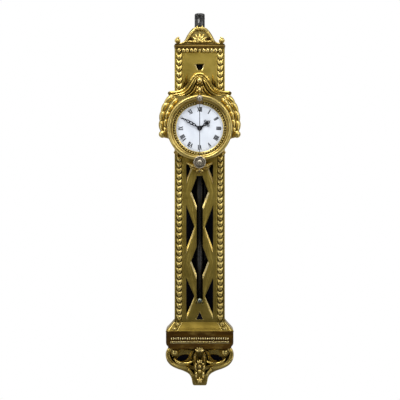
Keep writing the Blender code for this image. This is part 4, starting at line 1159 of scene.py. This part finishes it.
def pendulum():
    """A turned boss on the pallet arbor, a silvered bob with raised rings, and its knurled nut."""
    c = Carving()
    high = HUB.out1 - HUB.out0
    profile = [(0, 1.9), (0, 5), (1.2, 8.4), (2.4, 9), (3.4, 8.8), (4.2, 8), (3.6, 7), (3.8, 6.2),
               (4.8, 5.6), (5.2, 4.6), (high - 0.6, 3.6), (high, 2.6), (high, 1.9)]
    c.disc(0, HUB.middle, raised(HUB.out0, profile), 48, closed=True)
    for x, z in circle(7.5, 12, 0, HUB.middle):
        c.ball(x, HUB.out0 + 4, z, 0.75, 0.8, 8, 5)
    add_piece("pendulum_boss", c, PEWTER, "pendulum", ["pendulum_hub"])

    c = Carving()
    high = BOB.out1 - BOB.out0
    profile = [(0, 12.4), (1.2, 15.4), (3, 17.6), (4.2, 18), (5.6, 18), (6.8, 17.2), (7.2, 16.2),
               (6.6, 15.4), (5.2, 15), (5.2, 13.4), (6.8, 12.8), (8, 11.8), (8.2, 10.6), (6.8, 10),
               (6.4, 8.4), (8, 7.6), (9.4, 6.4), (high - 0.5, 4.8), (high, 3), (high, 1)]
    c.disc(0, BOB.middle, raised(BOB.out0, profile), 72)
    obj = add_piece("bob_silvered", c, PEWTER, "bob", ["pendulum_bob"], smooth=35)
    rod = Extent("pendulum_rod")
    bore = Carving()
    bore.turn_upright(rod.axis, [(BOB.middle - 25, 1.3), (BOB.middle + 25, 1.3)], 16)
    cut_with(obj, bore)

    rows = []
    for z, r in ((NUT.z0, 1.3), (NUT.z0, 2.6), (NUT.z0 + 0.6, 3.2), (NUT.z1 - 0.6, 3.4), (NUT.z1, 2.8),
                 (NUT.z1, 1.3)):
        knurl = 0.12 if r > 3 else 0
        crests, valleys = (circle(size, 36, 0, rod.axis) for size in (r, r - knurl))
        rows.append([(*(valleys if k % 2 else crests)[k], z) for k in range(36)])
    c = Carving()
    c.loft(rows, ring=True)
    add_piece("rating_nut_knurled", c, BRASS, "nut", ["rating_nut"])


def weight_rod():
    """The blackened tube with a wider sleeve and a band at its top, and the ball that it is lifted by."""
    radius, top = TUBE.x1, CAP.z1
    sleeve = radius + 1.6
    profile = [(TUBE.z0, radius - 1.5), (TUBE.z0 + 1.5, radius), (311.5, radius), (312.3, sleeve),
               (336, sleeve), (336.6, sleeve - 0.5), (340.6, sleeve - 0.5), (341.2, sleeve),
               (top - 3.4, sleeve), (top - 1.6, sleeve - 0.9), (top - 0.6, sleeve - 3.6),
               (top - 0.1, sleeve - 7), (top, 2)]
    c = Carving()
    c.turn_upright(TUBE.axis, profile, 72)
    add_piece("weight_tube_turned", c, IRON, "weight_rod", ["weight_tube", "tube_cap"], smooth=50)
    band = [(337, sleeve - 0.8), (337, sleeve), (337.6, sleeve + 0.2), (340, sleeve + 0.2),
            (340.6, sleeve), (340.6, sleeve - 0.8)]
    c = Carving()
    c.turn_upright(TUBE.axis, band, 72, closed=True)
    add_piece("tube_band", c, RACK_STEEL, "weight_rod", smooth=50)
    ball = 8.1
    profile = raised(KNOB.out0, [(0, 3), (14, 3), (15, 4.6), (16.2, 4.6), (17, 3.6)])
    neck = KNOB.out0 + 17.2
    for k in range(2, 19):
        turn = math.pi * (1 - k / 20)
        place = KNOB.out1 - ball + ball * math.cos(turn)
        if place > neck:
            profile.append((place, ball * math.sin(turn)))
    c = Carving()
    c.disc(0, KNOB.middle, profile, 40)
    add_piece("knob_turned", c, GREEN_STEEL, "weight_rod", ["ball_knob"], smooth=50)


# --- Fixings and finishes on the frame's own nodes ---

def fixings():
    """Wood screws in the back board and the hanging plate."""
    c = Carving()
    plate = Extent("hanging_plate")
    screws = [(x, z, 3, plate.out0 - 0.2, plate.out0 + 0.8) for x in (-18, 18)
              for z in (plate.z0 + 6, plate.z1 - 6)]
    screws += [(x, lerp(225, -555, k / 5), 3.2, 0, 1.2) for x in (-70, 70) for k in range(6)]
    for x, z, radius, back, front in screws:
        c.disc(x, z, [(front, radius * 0.5), (back + 0.3, radius), (back + 0.05, radius * 0.94)], 16)
    add_piece("back_screws", c, IRON, smooth=30)


def dress(material, *names):
    """Gives nodes of the frame that are still seen a finish."""
    for name in names:
        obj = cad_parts[name]
        for slot in obj.material_slots:
            slot.material = material


def dress_frame():
    dress(INSIDE, "back_board")
    dress(GILT_FLAT, "side_left", "side_right")
    dress(GILT_DARK, "head_board")
    dress(OAK, "upper_guide")
    # The guide and stop block inside the case take its near-black painted shade.
    dress(INSIDE, "lower_guide", "stop_block")
    dress(IRON, "hanging_plate")
    dress(RACK_STEEL, "rack", "pendulum_rod")
    dress(BLACK_STEEL, "hand_collet")
    dress(STEEL, "great_arbor", "ratchet_wheel", "click", "click_spring", "centre_arbor", "third_arbor",
          "escape_arbor", "pallet_arbor", "pallets", "cannon_pinion")
    dress(BRASS, "back_plate", "front_plate", "rack_cock", "great_wheel", "centre_wheel", "third_wheel",
          "escape_wheel", "minute_wheel", "hour_wheel")


# --- Room, lights and camera ---

CAMERA_LENS = 72
CAMERA_DISTANCE, CAMERA_HEIGHT = 2.4, -0.2115


def sheet(name, points, faces, grey, seen):
    """A plain sheet for the studio. An unseen one shows in reflections alone, as a studio flag does."""
    material = bpy.data.materials.new(name)
    material.use_nodes = True
    shader = material.node_tree.nodes["Principled BSDF"]
    shader.inputs["Base Color"].default_value = (grey, grey, grey, 1)
    shader.inputs["Roughness"].default_value = 0.9
    mesh = bpy.data.meshes.new(name)
    mesh.from_pydata(points, [], faces)
    mesh.materials.append(material)
    obj = placed(name, mesh)
    obj.visible_camera = obj.visible_diffuse = obj.visible_shadow = seen


def studio_wall(name, low, high, grey):
    """Part of a round wall in front of the clock, between two elevations in degrees, never seen itself."""
    radius, columns, levels = 3.3, 24, 5
    rows, faces = [], []
    for level in range(levels + 1):
        rise = math.radians(lerp(low, high, level / levels))
        for k in range(columns + 1):
            at = math.radians(lerp(-205, 25, k / columns))
            rows.append((radius * math.cos(at) * math.cos(rise), radius * math.sin(at) * math.cos(rise),
                         radius * math.sin(rise)))
    for level in range(levels):
        for k in range(columns):
            here = level * (columns + 1) + k
            faces.append((here, here + 1, here + columns + 2, here + columns + 1))
    sheet(name, rows, faces, grey, seen=False)


def disc_sheet(name, radius, forward, z, grey, seen=True):
    """A round level sheet, in metres."""
    rim = [(x, y, z) for x, y in circle(radius, 48, 0, -forward)]
    sheet(name, rim, [tuple(range(48))], grey, seen)


def plain_stage():
    """A pale floor well below the hung clock, and grey walls behind the camera for the gold to reflect."""
    disc_sheet("floor", 2.8, 0, -1.7, 0.88)
    disc_sheet("low_flag", 1.6, 0.6, -1.35, 0.12, seen=False)
    studio_wall("wall_low", -32, -3, 0.03)
    studio_wall("wall_middle", -3, 26, 0.20)
    studio_wall("wall_high", 26, 66, 0.14)


def area_light(name, place, aim, size, watts, tall=None):
    """A soft lamp turned towards the clock's middle line at a height; tall is for an oblong one."""
    lamp = bpy.data.lights.new(name, "AREA")
    lamp.energy = watts
    lamp.size = size
    if tall:
        lamp.shape = "RECTANGLE"
        lamp.size_y = tall
    obj = placed(name, lamp)
    obj.location = place
    obj.visible_camera = False
    obj.rotation_euler = (Vector((0, 0, aim)) - Vector(place)).to_track_quat("-Z", "Y").to_euler()


def light_and_camera():
    """Soft lamps round the clock, a white world, and a camera straight in front of it."""
    scene = bpy.context.scene
    scene.world = bpy.data.worlds.new("studio")
    scene.world.use_nodes = True
    scene.world.node_tree.nodes["Background"].inputs["Color"].default_value = (1, 1, 1, 1)
    area_light("key", (-0.7, -1.6, 1.75), -0.1, size=0.7, watts=26)
    area_light("fill", (1, -1.7, 1.1), -0.2, size=0.5, watts=10)
    for side in (-1, 1):
        area_light("side_%d" % side, (side * 1.5, -0.6, 0.9), -0.3, size=0.5, watts=7, tall=1.5)
        area_light("low_side_%d" % side, (side * 1.35, -1.5, -0.25), -0.6, size=0.45, watts=6, tall=0.8)
        area_light("floor_bounce_%d" % side, (side * 0.7, -1, -1.55), -0.65, size=0.3, watts=2.5)
    area_light("top", (0, -0.35, 1.9), 0, size=0.9, watts=14)
    camera = bpy.data.cameras.new("camera")
    camera.lens, camera.sensor_width = CAMERA_LENS, 36
    obj = placed("camera", camera)
    obj.location = (0.0009, -(CAMERA_DISTANCE + FACE * MM), CAMERA_HEIGHT)
    obj.rotation_euler = (math.radians(90), 0, 0)
    scene.camera = obj
    scene.view_settings.view_transform = "Standard"


pierced_panel()
panel_mouldings()
ribbon_ridges()
husk_chains()
corner_curls()
leaf_row()
cornice_moulding()
crest_carving()
plinth_block()
plinth_rows()
bracket_scrolls()
bracket_shell()
drapery()
shell()
garlands()
bow_spray()
bezel_ring()
dial()
hands()
pendulum()
weight_rod()
fixings()
dress_frame()
plain_stage()
light_and_camera()
